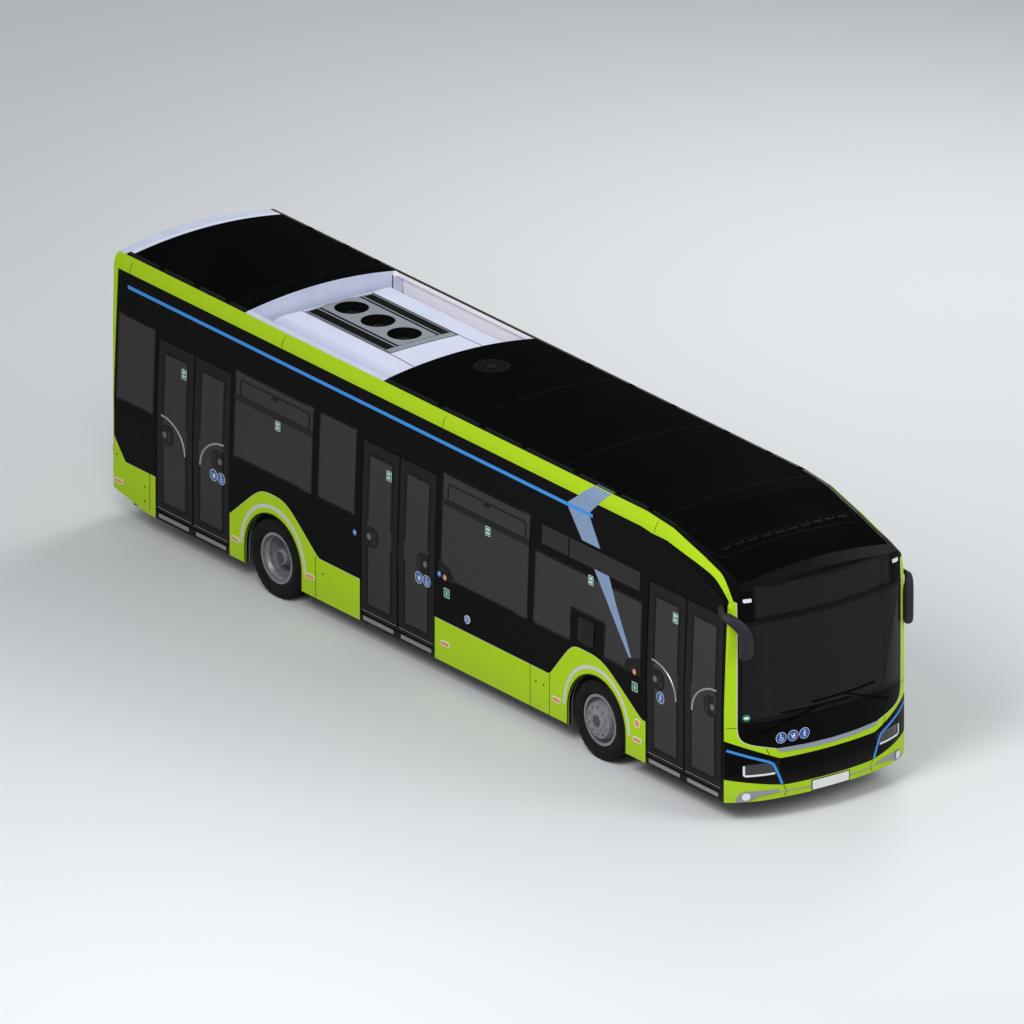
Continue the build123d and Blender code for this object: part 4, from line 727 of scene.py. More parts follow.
# ---------------------------------------------------------------------------
# Wheel arches: a silver reflective arc on each lime surround, and a rubber lip on the opening.
# The film is stuck on the paint, and the rubber grips the panel's edge.
# ---------------------------------------------------------------------------
silver_film = surface("Silver reflective film", "#c9cac4", 0.42, metal=0.15, gloss=0.4, grain=3,
                      relief=0.05)[0]
lip_rubber = surface("EPDM rubber", "#0d0d0d", 0.75, gloss=0.2, grain=2.5, relief=0.25)[0]
arcs, lips = bmesh.new(), bmesh.new()
for view in ("right", "left"):
    shell = shell_of(f"{view}_side_wall")
    for axle in axles:
        line = [(axle + 0.6135, 0.494)] + arc(axle, 0.50, 0.6135, 0, 180, 36) + [(axle - 0.6135, 0.494)]
        lay(arcs, strip(line, 0.044), view, shell, 0.003, 1.0)
        line = [(axle + ARCH_R + 0.008, 0.27)] + arc(axle, tyre_r, ARCH_R + 0.008, 0, 180,
                                                     36) + [(axle - ARCH_R - 0.008, 0.27)]
        lay(lips, strip(line, 0.016), view, shell, 0.011, 1.0)
piece("arch_arcs", arcs, silver_film)
piece("arch_lips", lips, lip_rubber, edge=0.003)

# ---------------------------------------------------------------------------
# Side markers: amber lamps in white bezels, and round reflectors, clipped into the skirt.
# Polycarbonate lenses with fine prisms moulded inside.
# ---------------------------------------------------------------------------
def ridges(apart):
    """Scale of a wave texture with its ridges this many millimetres apart."""
    return pi * 100 / apart


def ribs(tree, shader, place, way, apart, strength, depth):
    """Moulds ribs into a surface, this many millimetres apart along an axis."""
    wave = add(tree, "TexWave", named={"Vector": place, "Scale": ridges(apart)}, bands_direction=way)
    bump = add(tree, "Bump", named={"Height": wave, "Strength": strength, "Distance": depth})
    tree.links.new(bump, shader.inputs["Normal"])


def ring_of(a, b, outer, inner, steps=28):
    """Quads of a flat ring."""
    big, small = disc(a, b, outer, steps), disc(a, b, inner, steps)
    return [(big[i], big[(i + 1) % steps], small[(i + 1) % steps], small[i]) for i in range(steps)]


amber, tree, shader, place = surface("Amber polycarbonate", "#d98a1e", 0.18, gloss=0.5)
ribs(tree, shader, place, "X", 8, 0.5, 0.001)
bezel_white = surface("White moulded ABS", "#d9dad6", 0.4, grain=2, relief=0.03)[0]
lenses, bezels = bmesh.new(), bmesh.new()
REFLECTOR = (4.131, 0.70)
MARKER_X = (-5.86, -3.592, -2.129, 2.593, REFLECTOR[0])
for view, middle_x in (("right", (0.468,)), ("left", (0.2, 1.6))):
    shell = shell_of(f"{view}_side_wall")
    for x in (*MARKER_X[:3], *middle_x, *MARKER_X[3:]):
        lay(lenses, [rounded(x - 0.068, x + 0.068, 0.478, 0.516, 0.015)], view, shell, 0.011)
        lay(bezels, frame_of(x - 0.080, x + 0.080, 0.466, 0.528, 0.022, 0.012), view, shell, 0.009)
    lay(lenses, [disc(*REFLECTOR, 0.042)], view, shell, 0.010)
    lay(bezels, ring_of(*REFLECTOR, 0.057, 0.042), view, shell, 0.008)
piece("side_marker_lenses", lenses, amber, edge=0.002)
piece("side_marker_bezels", bezels, bezel_white, edge=0.002)

# ---------------------------------------------------------------------------
# Doors: aluminium frames in satin black, each pane bonded in with a fired black border.
# Sills carry ribbed aluminium strips. Every leaf has a control pad, and some have signs or a grab bar.
# ---------------------------------------------------------------------------
# Powder coat over aluminium: dark, satin, with a fine even texture
door_coat = surface("Satin powder coat on aluminium", "#141413", 0.42, gloss=0.10, grain=1.8,
                    relief=0.05)[0]
# Extruded aluminium, ribbed against slipping and dull from shoes
ribbed, tree, shader, place = surface("Ribbed extruded aluminium", "#8d8d8a", 0.45, metal=0.55, gloss=0.4)
ribs(tree, shader, place, "Z", 9, 0.6, 0.0015)
scuff = add(tree, "TexNoise", named={"Vector": place, "Scale": 14.0, "Detail": 5.0})
worn = add(tree, "MapRange", scuff, 0.35, 0.7, 0.34, 0.6)
tree.links.new(worn, shader.inputs["Roughness"])
# Brushed stainless tube, wiped bright by hands
brushed, tree, shader, place = surface("Brushed stainless tube", "#a3a2a0", 0.3, metal=0.7, grain=1.2,
                                       relief=0.03)
sign_blue = film("Blue sign vinyl", "#1d4f95")
sign_white = film("White sign vinyl", "#dfe3e8")
sign_green = film("Green sign vinyl", "#1d7a4f")
button_grey = surface("Grey silicone button", "#5f605e", 0.55, gloss=0.3, grain=1.0, relief=0.05)[0]


def tube(bm, line, r, sides=10):
    """Adds a round tube along 3-D points, closed at both ends."""
    line = [Vector(p) for p in line]
    rings = []
    side = None
    for i, spot in enumerate(line):
        run = (line[min(i + 1, len(line) - 1)] - line[max(i - 1, 0)]).normalized()
        if side is None:
            side = run.orthogonal().normalized()
        side = (side - run * side.dot(run)).normalized()
        other = run.cross(side)
        rings.append([bm.verts.new(spot + side * (r * cos(2 * pi * k / sides)) + other
                                   * (r * sin(2 * pi * k / sides))) for k in range(sides)])
    for a, b in zip(rings, rings[1:]):
        for k in range(sides):
            bm.faces.new((a[k], a[(k + 1) % sides], b[(k + 1) % sides], b[k]))
    bm.faces.new(rings[0][::-1])
    bm.faces.new(rings[-1])


def pictogram(bm, kind, a, b, r, view, shell, lift):
    """Draws a plain sign figure inside a disc of radius r: wheelchair, pram or walker."""
    if kind == "chair":
        lines = [([(-0.12, 0.36), (-0.08, -0.02), (0.24, -0.02), (0.40, -0.42)], 0.15)]
        shapes = [disc(a - 0.12 * r, b + 0.56 * r, 0.14 * r, 12)]
        lines.append(([(0.05 + 0.40 * cos(radians(t)), -0.25 + 0.34 * sin(radians(t)))
                       for t in range(150, 341, 19)], 0.11))
    elif kind == "pram":
        lines = [([(-0.55, 0.38), (-0.40, 0.30), (-0.28, -0.05)], 0.10)]
        shapes = [[(a + p * r, b + q * r) for p, q in ((-0.32, 0.05), (0.50, 0.05), (0.38, -0.25),
                                                       (-0.20, -0.25))],
                  [(a + p * r, b + q * r) for p, q in ((0.10, 0.12), (0.48, 0.12), (0.40, 0.34),
                                                       (0.12, 0.46))],
                  disc(a - 0.10 * r, b - 0.46 * r, 0.12 * r, 12),
                  disc(a + 0.30 * r, b - 0.46 * r, 0.12 * r, 12)]
    else:
        lines = [([(0.02, 0.34), (0.0, -0.05)], 0.26), ([(0.0, -0.05), (0.22, -0.62)], 0.13),
                 ([(0.0, -0.05), (-0.26, -0.60)], 0.13), ([(0.02, 0.28), (0.32, -0.02)], 0.11),
                 ([(0.02, 0.28), (-0.28, 0.0)], 0.11)]
        shapes = [disc(a + 0.02 * r, b + 0.56 * r, 0.14 * r, 12)]
    for shape in shapes:
        lay(bm, [shape], view, shell, 0.0006, 1.0, lift=lift)
    for line, width in lines:
        lay(bm, strip([(a + p * r, b + q * r) for p, q in line], width * r), view, shell, 0.0006, 1.0,
            lift=lift)


def on_wall(bm, outlines, thick, step=1.0, lift=-0.001):
    """Lays a plate on the right wall, seen from outside."""
    lay(bm, outlines, "right", wall_shell, thick, step, lift)


def on_leaf(bm, outlines, thick, step=0.4, lift=-0.0005):
    """Lays a plate on the door leaf in hand, seen from outside."""
    lay(bm, outlines, "right", shell, thick, step, lift)


GRAB_R, GRAB_REACH, GRAB_TALL, GRAB_Z = 0.013, 0.46, 0.37, 1.20     # the bars are quarter ovals
PAD = (1.229, 1.477)                    # foot and top of the control pads
PAD_LONG, PAD_ROUND = 0.215, 0.10
BUTTON_IN, SWITCH_IN = 0.050, 0.150     # from the pane's outer edge to the middle of button and switch
BUTTON_Z, SWITCH = 1.353, 0.068         # their buttons' height, and half the height of their switches
SIGN_Z, SIGN_R = 1.151, 0.068
STEP_Z = (0.294, 0.343)                 # the sill strips, under the leaves
sills = bmesh.new()
for door, (left, right) in doors_x.items():
    wall_shell = shell_of("right_side_wall", "cabin_floor", f"{door}_door_rear_leaf",
                          f"{door}_door_front_leaf")
    middle = (left + right) / 2
    for a, b in ((left + 0.062, middle - 0.072), (middle + 0.072, right - 0.062)):
        on_wall(sills, [oblong(a, b, *STEP_Z)], 0.004, 0.3)
    for half, out in (("rear", -1), ("front", 1)):
        body = f"{door}_door_{half}_leaf"
        shell = shell_of(body, f"{door}_door_{half}_glass")
        low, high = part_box(f"{door}_door_{half}_glass")
        leaf_low, leaf_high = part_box(body)
        outer = high.x if out > 0 else low.x
        dress(door_coat, body)
        bm = bmesh.new()
        on_leaf(bm, frame_of(low.x - 0.012, high.x + 0.012, low.z - 0.012, high.z + 0.012, 0.022, 0.034),
                0.0016)
        for x0, x1 in ((leaf_low.x + 0.002, leaf_low.x + 0.012),
                       (leaf_high.x - 0.012, leaf_high.x - 0.002)):
            on_leaf(bm, [oblong(x0, x1, leaf_low.z + 0.01, leaf_high.z - 0.01)], 0.0022)
        piece(f"{body}_border", bm, ceramic, body=body)
        bm = bmesh.new()
        on_leaf(bm, strip([(leaf_low.x + 0.02, 0.412), (leaf_high.x - 0.02, 0.412)], 0.007), 0.0022)
        piece(f"{body}_drip_line", bm, ribbed, body=body)
        # Control pad: a black moulding on the outer edge of the pane, with a button and a recessed switch
        bm = bmesh.new()
        inner = outer - out * PAD_LONG
        switch_x = outer - out * SWITCH_IN
        pad = rounded(min(outer, inner), max(outer, inner), *PAD, PAD_ROUND, 6)
        pad = [(outer if abs(p - outer) < PAD_ROUND else p, q) for p, q in pad]
        pad = [(p, (PAD[0] if q < BUTTON_Z else PAD[1]) if p == outer else q) for p, q in pad]
        on_leaf(bm, [pad], 0.006, 0.2, lift=0.0)
        on_leaf(bm, rim_of(switch_x, BUTTON_Z, 0.029, SWITCH, 0.026, 0.006), 0.004, 1.0, lift=0.005)
        piece(f"{body}_pad", bm, corner_plastic, body=body, edge=0.002)
        bm = bmesh.new()
        on_leaf(bm, [disc(outer - out * BUTTON_IN, BUTTON_Z, 0.030, 24)], 0.004, 1.0, lift=0.004)
        on_leaf(bm, ring_of(outer - out * BUTTON_IN, BUTTON_Z, 0.040, 0.033, 24), 0.003, 1.0, lift=0.004)
        on_leaf(bm, rim_of(switch_x, BUTTON_Z, 0.023, 0.062, 0.021, 0.004), 0.002, 1.0, lift=0.005)
        piece(f"{body}_button", bm, button_grey, body=body, edge=0.0015)
        # Grab bar: an arc across the pane, held at both ends on the frame
        if door != "middle":
            bm = bmesh.new()
            turn = [(outer - out * (-0.02 + GRAB_REACH * sin(t)), GRAB_Z + GRAB_TALL * cos(t))
                    for t in [pi / 2 * i / 14 for i in range(15)]]
            line = [shell.ray_cast(Vector((a, -9, b)), Vector((0, 1, 0)))[0] + Vector((0, 0.002, 0)) for a,
                    b in turn]
            tube(bm, line, GRAB_R)
            piece(f"{body}_grab_bar", bm, brushed, body=body)
        signs = []
        if door != "front" and half == "front":
            signs = [("pram", outer - 0.178), ("chair", outer - 0.028)]
        if door == "front" and half == "rear":
            signs = [("walker", outer + 0.145)]
        if signs:
            blue, white = bmesh.new(), bmesh.new()
            for kind, a in signs:
                on_leaf(blue, [disc(a, SIGN_Z, SIGN_R)], 0.0022, 1.0)
                on_leaf(white, ring_of(a, SIGN_Z, SIGN_R + 0.003, SIGN_R - 0.002), 0.0026, 1.0)
                pictogram(white, kind, a, SIGN_Z, SIGN_R - 0.002, "right", shell, 0.0016)
            piece(f"{body}_signs", blue, sign_blue, body=body)
            piece(f"{body}_figures", white, sign_white, body=body)
        if half == "rear":
            green, white = bmesh.new(), bmesh.new()
            a, b = high.x - 0.075, high.z - 0.16
            on_leaf(green, [patch(a, b, 0.042, 0.056, 0.006)], 0.0022, 1.0)
            on_leaf(white, rim_of(a, b, 0.047, 0.061, 0.008, 0.006), 0.0020, 1.0)
            for q in (0.026, -0.022):
                on_leaf(white, [rounded(a - 0.026, a - 0.004, b + q - 0.016, b + q + 0.016, 0.004)], 0.0006,
                        1.0, lift=0.0016)
                on_leaf(white, [rounded(a + 0.006, a + 0.026, b + q - 0.012, b + q + 0.012, 0.004)], 0.0006,
                        1.0, lift=0.0016)
            piece(f"{body}_sticker", green, sign_green, body=body)
            piece(f"{body}_sticker_lines", white, sign_white, body=body)
piece("sill_strips", sills, ribbed, edge=0.001)

# Control buttons and signs beside the doors, set in the wall and its corner panels
amber_button = surface("Amber silicone button", "#b8713a", 0.45, gloss=0.3, grain=1.5, relief=0.05)[0]
blue_button = surface("Blue silicone button", "#2f6fb8", 0.45, gloss=0.3, grain=1.5, relief=0.05)[0]
wall_shell = shell_of("right_side_wall", "side_windows")
groups = {kind: bmesh.new() for kind in ("amber", "blue", "green", "white", "rings")}
for kind, a, b, r in (("blue", -1.262, 1.322, 0.036), ("blue", 0.365, 1.330, 0.036),
                      ("amber", 0.470, 1.318, 0.036), ("amber", 4.085, 1.320, 0.036),
                      ("blue", 0.893, 0.934, 0.040)):
    on_wall(groups[kind], [disc(a, b, r, 24)], 0.012, lift=0.0)
    on_wall(groups["white"] if r > 0.038 else groups["rings"], ring_of(a, b, r + 0.010, r + 0.001, 24),
            0.009, lift=0.0)
    on_wall(groups["white"], ring_of(a, b, r * 0.45, r * 0.30, 16), 0.001, lift=0.0115)
for a, b in ((0.493, 1.130), (4.080, 1.130)):
    on_wall(groups["green"], [patch(a, b, 0.048, 0.052, 0.006)], 0.0026)
    on_wall(groups["white"], rim_of(a, b, 0.052, 0.056, 0.008, 0.005), 0.003)
    pictogram(groups["white"], "walker", a, b, 0.045, "right", wall_shell, 0.0012)
for a, b in ((1.245, 2.125), (3.208, 2.150), (-2.80, 2.135)):
    on_wall(groups["green"], [patch(a, b, 0.042, 0.052, 0.006)], 0.0026)
    on_wall(groups["white"], rim_of(a, b, 0.047, 0.057, 0.008, 0.006), 0.0024)
    for q in (0.022, -0.022):
        for p in (-0.015, 0.016):
            on_wall(groups["white"], [patch(a + p, b + q, 0.011, 0.014, 0.004)], 0.0006, lift=0.0012)
for kind, material in (("amber", amber_button), ("blue", blue_button), ("green", sign_green),
                       ("white", sign_white), ("rings", corner_plastic)):
    piece(f"outside_{kind}", groups[kind], material)

# ---------------------------------------------------------------------------
# Roof: hinged glass-fibre covers over aluminium battery cases, with a round fan ahead of the housing.
# The covers are black gel coat, hung on small tabs along both edges.
# ---------------------------------------------------------------------------
def weathered(tree, place, shade, stain, scale, detail, low, high, most):
    """A colour with a stain over it in patches, up to its most where the noise passes from low to high."""
    patches = add(tree, "TexNoise", named={"Vector": place, "Scale": scale, "Detail": detail})
    patches = add(tree, "MapRange", patches, low, high, 0.0, most)
    return add(tree, "Mix", named={0: patches, 6: shade, 7: stain}, out=2, data_type="RGBA")


WHITE_END = -5.85                       # behind this the last cover is white
# Black gel coat on glass fibre: satin, slightly wavy from the mould, bleached in patches by the sun.
# Its IOR is far below that of the real coat, which keeps it black where it is seen at a slant
gel_black, tree, shader, place = surface("Black gel coat on glass fibre", "#080909", 0.40, gloss=0.02,
                                         grain=12, relief=0.08)
shader.inputs["IOR"].default_value = 1.06
shade = weathered(tree, place, "#080909", "#0c0d0e", 0.9, 4.0, 0.45, 0.75, 0.6)
back = add(tree, "SeparateXYZ", place)
back = add(tree, "Math", back, WHITE_END, operation="LESS_THAN")
shade = add(tree, "Mix", named={0: back, 6: shade, 7: WHITE}, out=2, data_type="RGBA")
tree.links.new(shade, shader.inputs["Base Color"])
dress(gel_black, "roof_covers")
# Pressed aluminium case with shallow ribs every 80 mm
case_metal, tree, shader, place = surface("Pressed aluminium case", "#8e9194", 0.45, metal=0.6, gloss=0.4)
ribs(tree, shader, place, "X", 80, 0.7, 0.006)
dress(case_metal, "battery_packs")
roof_up = shell_of("roof_covers", "roof_shell", "front_mask")


def on_roof(bm, outlines, thick, step=1.0, lift=-0.001):
    """Lays a plate on the roof, seen from above."""
    lay(bm, outlines, "top", roof_up, thick, step, lift)


FAN_X, VENT_R = -0.36, 0.210
TAB_Y = 1.068                           # the covers' tabs stand this far out
bm = bmesh.new()
for outer, inner, rise in ((VENT_R, 0.188, 0.0014), (0.172, 0.158, 0.0012), (0.140, 0.126, 0.0013),
                           (0.108, 0.094, 0.0014)):
    on_roof(bm, ring_of(FAN_X, 0.0, outer, inner, 40), rise)
on_roof(bm, [disc(FAN_X, 0.0, 0.066, 32)], 0.0015)
for turn in range(8):
    a, b = cos(pi * turn / 4), sin(pi * turn / 4)
    on_roof(bm, strip([(FAN_X + 0.06 * a, 0.06 * b), (FAN_X + 0.19 * a, 0.19 * b)], 0.010), 0.0011)
vent_plastic, tree, shader, place = surface("Black moulded polypropylene", "#131415", 0.45, gloss=0.12,
                                            grain=2, relief=0.06)
shader.inputs["IOR"].default_value = 1.12
piece("roof_vent", bm, vent_plastic)
bm = bmesh.new()
for side in (-1, 1):
    for x in (-5.3, -4.6, -4.0, 0.1, 0.9, 1.7, 2.7, 3.5, 4.1):
        on_roof(bm, [patch(x, side * TAB_Y, 0.045, 0.016, 0.008)], 0.007)
piece("cover_tabs", bm, gel_black, edge=0.0015)
# Air slots across the nose slope: ten shallow louvres in a moulded surround
slots, louvres = bmesh.new(), bmesh.new()
for i in range(10):
    y = -0.822 + 0.1827 * i
    x = 5.235 - 0.06 * abs(y)
    on_roof(slots, [[(x - 0.036, y - 0.076), (x + 0.036, y - 0.062), (x + 0.036, y + 0.062),
                     (x - 0.036, y + 0.076)]], 0.002)
    on_roof(louvres, [[(x - 0.026, y - 0.062), (x - 0.006, y - 0.058), (x - 0.006, y + 0.058),
                       (x - 0.026, y + 0.062)]], 0.006, lift=0.0005)
piece("nose_slots", slots, vent_plastic)
piece("nose_louvres", louvres, gel_black, edge=0.0015)

# ---------------------------------------------------------------------------
# Roof air conditioner: a white moulded housing set down in a well between the covers.
# A grey panel carries three black fans under wire guards, with long air slots beside them.
# ---------------------------------------------------------------------------
AC_WHITE = "#d2d8ed"
PANEL = (-3.295, -1.658, 0.473)         # the fan panel's two ends and half its width
FAN_PITCH, FAN_R, FAN_HALF = 0.510, 0.203, 0.206
FANS = [-2.548 + FAN_PITCH * i for i in (-1, 0, 1)]
SLOTS = ((0.329, 0.457), (0.273, 0.307))        # the air slots, across
BARS = ((0.458, PANEL[2]), (0.308, 0.328), (0.205, 0.272))      # and the strips of the panel beside them
PANEL_REAR, PANEL_FRONT = 0.02, 0.12    # widths of its end strips
GUARD_RINGS, GUARD_SPOKES = (0.196, 0.160, 0.121, 0.082), (0.03, 0.201)
GUARD_Z, WIRE_R, SPOKE_R = 3.214, 0.003, 0.0035
SEAM_Y = 0.478                          # half width at which the panel's seat ends
# White gel coat: even, satin, faintly stained in patches
ac_coat, tree, shader, place = surface("White gel coat on glass fibre", AC_WHITE, 0.42, gloss=0.25,
                                       grain=10, relief=0.06)
x, y, z = (add(tree, "SeparateXYZ", place, out=i) for i in range(3))
shade = weathered(tree, place, AC_WHITE, "#b3b8c8", 3.0, 6.0, 0.5, 0.8, 0.3)
fan_zone = 0.0
for fx in FANS:
    away_x = add(tree, "Math", x, fx, operation="SUBTRACT")
    away_x = add(tree, "Math", away_x, 2.0, operation="POWER")
    away_y = add(tree, "Math", y, 2.0, operation="POWER")
    near = add(tree, "Math", away_x, away_y, operation="ADD")
    near = add(tree, "Math", near, FAN_R ** 2, operation="LESS_THAN")
    fan_zone = add(tree, "Math", fan_zone, near, operation="MAXIMUM")
shade = add(tree, "Mix", named={0: fan_zone, 6: shade, 7: "#0b0b0c"}, out=2, data_type="RGBA")
tree.links.new(shade, shader.inputs["Base Color"])
dress(ac_coat, "air_conditioner")
ac_shell = shell_of("air_conditioner")


def on_housing(bm, outlines, thick, step=0.3, lift=-0.001):
    """Lays a plate on the housing, seen from above."""
    lay(bm, outlines, "top", ac_shell, thick, step, lift)


panel_grey = surface("Grey coated sheet steel", "#848b93", 0.45, metal=0.2, gloss=0.3, grain=3,
                     relief=0.05)[0]
grille_black = surface("Black coated steel mesh", "#070707", 0.6, gloss=0.02, grain=2, relief=0.2)[0]
bm = bmesh.new()
for side in (-1, 1):
    for low, high in BARS:
        on_housing(bm, [oblong(PANEL[0], PANEL[1], side * low, side * high)], 0.004)
    for low, high in ((PANEL[0], PANEL[0] + PANEL_REAR), (PANEL[1] - PANEL_FRONT, PANEL[1])):
        on_housing(bm, [oblong(low, high, side * BARS[2][1], side * BARS[0][0])], 0.004)
for low, high in ((PANEL[0], FANS[0] - FAN_R), (FANS[2] + FAN_R, PANEL[1])):
    on_housing(bm, [oblong(low, high, -FAN_HALF, FAN_HALF)], 0.004)
for fx in FANS:
    for east, north in ((1, 1), (1, -1), (-1, -1), (-1, 1)):
        corner = [(fx + east * p, north * q) for p, q in arc(0, 0, FAN_R, 0, 90, 10)]
        corner += [(fx, north * FAN_HALF), (fx + east * FAN_PITCH / 2, north * FAN_HALF),
                   (fx + east * FAN_PITCH / 2, 0.0)]
        on_housing(bm, [corner], 0.004, 1.0)
piece("fan_panel", bm, panel_grey)
bm = bmesh.new()
for side in (-1, 1):
    for low, high in SLOTS:
        on_housing(bm, [oblong(PANEL[0] + PANEL_REAR, PANEL[1] - PANEL_FRONT, side * low, side * high)],
                   0.003)
    on_housing(bm, strip([(PANEL[0], side * SEAM_Y), (PANEL[1], side * SEAM_Y)], 0.008), 0.005, 0.4)
for x in (PANEL[0] - 0.002, PANEL[1] + 0.002, PANEL[1] - 0.115):
    on_housing(bm, strip([(x, -SEAM_Y), (x, SEAM_Y)], 0.007), 0.0045, 0.2)
for fx in FANS:
    for r in GUARD_RINGS:
        tube(bm, [(fx + p, q, GUARD_Z) for p, q in arc(0, 0, r, 0, 360, 32)], WIRE_R, 6)
    for k in range(8):
        a = pi * k / 4
        tube(bm, [(fx + r * cos(a), r * sin(a), 3.212) for r in GUARD_SPOKES], SPOKE_R, 6)
piece("fan_guards", bm, grille_black)
bm = bmesh.new()
for side in (-1, 1):
    line = [(-3.44, side * 0.495), (-1.60, side * 0.495), (-1.40, side * 0.500), (-1.20, side * 0.512),
            (-1.00, side * 0.540)]
    on_housing(bm, strip(line, 0.010), 0.0024, 0.1)
piece("housing_seams", bm, sealant)
# White closing plates fill the corners of the well between its end walls and the cant rails
CORNER_PLATE = (0.004, 0.150, 0.385)
PLATE_Y, PLATE_Z = 1.060, 3.0325
bm = bmesh.new()
for x in (WELL[0] + 0.002, WELL[1] - 0.002):
    for side in (-1, 1):
        plate = bmesh.ops.create_cube(bm, size=1.0)["verts"]
        bmesh.ops.scale(bm, vec=CORNER_PLATE, verts=plate)
        bmesh.ops.translate(bm, vec=(x, side * PLATE_Y, PLATE_Z), verts=plate)
piece("well_corner_plates", bm, ac_coat, edge=0.001)

# ---------------------------------------------------------------------------
# Nose: lamps behind clear polycarbonate, chromed trim, fog lamp mouldings and a blank number plate.
# All are clipped or bonded to the glass-fibre mask and to the three-piece bumper.
# ---------------------------------------------------------------------------
nose_shell = shell_of("front_mask", "front_bumper", "windscreen", "lamps")


def on_nose(bm, outlines, thick, step=0.05, lift=-0.001):
    """Lays a plate on the nose, seen from ahead."""
    lay(bm, outlines, "front", nose_shell, thick, step, lift)


# Satin chrome on ABS: bright but milky, darker where it turns away
satin_chrome = surface("Satin chrome on ABS", "#8f97a3", 0.34, metal=0.45, gloss=0.4, grain=2,
                       relief=0.02)[0]
silver_plastic = surface("Silver painted ABS", "#928f97", 0.42, metal=0.25, gloss=0.35, grain=2,
                         relief=0.03)[0]
lamp_white = surface("Opal white polycarbonate", "#d9dbe0", 0.25, gloss=0.4, grain=3, relief=0.02)[0]
plate_white = surface("Pressed plate, white film", "#dcdddb", 0.4, gloss=0.4, grain=3, relief=0.04)[0]
LAMP = (0.690, 1.112, 0.552, 0.724)     # the headlamp's opening: from and to across, and up
PROJECTORS, PROJECTOR_Z = (0.985, 0.870), 0.645
PROJECTOR_R = (0.045, 0.036)            # outside and inside of a projector's ring
FOG = (1.080, 0.333)                    # middle of the fog lamp
# Clear polycarbonate over a dark reflector: smoky, glossy, faint upright prisms
head_lens, tree, shader, place = surface("Clear polycarbonate over a dark reflector", "#2b2c2f", 0.08,
                                         gloss=0.35, coat=0.3)
ribs(tree, shader, place, "Y", 18, 0.4, 0.002)
x, y, z = (add(tree, "SeparateXYZ", place, out=i) for i in range(3))
back_end = add(tree, "Math", x, 0.0, operation="LESS_THAN")
shade = add(tree, "Mix", named={0: back_end, 6: "#2b2c2f", 7: "#4a1012"}, out=2, data_type="RGBA")
tree.links.new(shade, shader.inputs["Base Color"])
dress(head_lens, "lamps")
bm = bmesh.new()
on_nose(bm, [[(-0.725, 0.874), (-0.36, 0.860), (0.0, 0.855), (0.36, 0.860), (0.725, 0.874), (0.668, 0.824),
              (0.33, 0.806), (0.0, 0.800), (-0.33, 0.806), (-0.668, 0.824)]], 0.010, 0.06, lift=-0.002)
piece("nose_trim", bm, satin_chrome, edge=0.003)
bezel, white, chrome, silver, line, fog, lens = (bmesh.new() for i in range(7))


def at(points):
    """Points of the left half, turned to the side in hand."""
    return [(side * a, b) for a, b in points]


for side in (-1, 1):
    on_nose(bezel, [at([(0.69, 0.722), (0.84, 0.722), (0.775, 0.68), (0.735, 0.60), (0.718, 0.552),
                        (0.69, 0.552)])], 0.004)
    on_nose(bezel, frame_of(*sorted((side * LAMP[0], side * LAMP[1])), *LAMP[2:], 0.03, 0.012), 0.005, 0.1)
    turn = [(1.072 + 0.026 * sin(t), 0.607 - 0.026 * cos(t))
            for t in [pi / 2 * (5 - i) / 5 for i in range(6)]]
    on_nose(white, strip(at([(1.098, 0.705)] + turn + [(0.90, 0.579), (0.745, 0.577)]), 0.022), 0.005, 0.03,
            lift=0.006)
    for a in PROJECTORS:
        on_nose(lens, ring_of(side * a, PROJECTOR_Z, *PROJECTOR_R, 24), 0.003, 1.0)
        on_nose(lens, [disc(side * a, PROJECTOR_Z, 0.022, 20)], 0.002, 1.0)
    on_nose(line, strip(at([(1.262, 0.900), (1.10, 0.836), (0.90, 0.757), (0.815, 0.724), (0.765, 0.690),
                            (0.735, 0.635), (0.70, 0.55), (0.652, 0.43)]), 0.029), 0.006)
    cluster = [(1.205, 0.262), (1.137, 0.372), (1.056, 0.392), (0.86, 0.384), (0.694, 0.368),
               (0.682, 0.340), (0.903, 0.324), (1.056, 0.272)]
    on_nose(silver, [at(cluster)], 0.011, lift=-0.002)
    on_nose(silver, strip(at([(0.276, 0.326), (0.45, 0.328), (0.668, 0.336)]), 0.012), 0.004, 0.1)
    on_nose(fog, [disc(side * FOG[0], FOG[1], 0.046, 28)], 0.012, 1.0, lift=0.006)
    on_nose(chrome, ring_of(side * FOG[0], FOG[1], 0.056, 0.045, 28), 0.014, 1.0, lift=0.006)
piece("lamp_bezels", bezel, corner_plastic, edge=0.0015)
piece("running_lights", white, lamp_white, edge=0.002)
piece("lamp_rings", chrome, satin_chrome, edge=0.001)
dark_chrome = surface("Dark chrome on ABS", "#3b3c42", 0.25, metal=0.5, gloss=0.4, grain=2, relief=0.02)[0]
piece("projector_rings", lens, dark_chrome, edge=0.001)
piece("nose_lines", line, blue_film)
piece("fog_mouldings", silver, silver_plastic, edge=0.004)
piece("fog_lamps", fog, lamp_white, edge=0.003)
# Joints of the mask and of the bumper
bm = bmesh.new()
for side in (-1, 1):
    on_nose(bm, strip([(side * 0.847, 0.886), (side * 0.766, 0.708)], 0.008), 0.003, lift=-0.002)
    on_nose(bm, strip([(side * 0.634, 0.412), (side * 0.593, 0.33), (side * 0.639, 0.245)], 0.008), 0.003,
            lift=-0.002)
    on_nose(bm, strip([(side * 1.262, 1.175), (side * 1.168, 1.172)], 0.007), 0.003, lift=-0.002)
on_nose(bm, strip([(-1.16 + 0.08 * i, 1.172 - 0.012 * cos(pi * (i - 14.5) / 29)) for i in range(30)],
                  0.006), 0.0026, 0.1, lift=-0.002)
piece("nose_joints", bm, sealant)
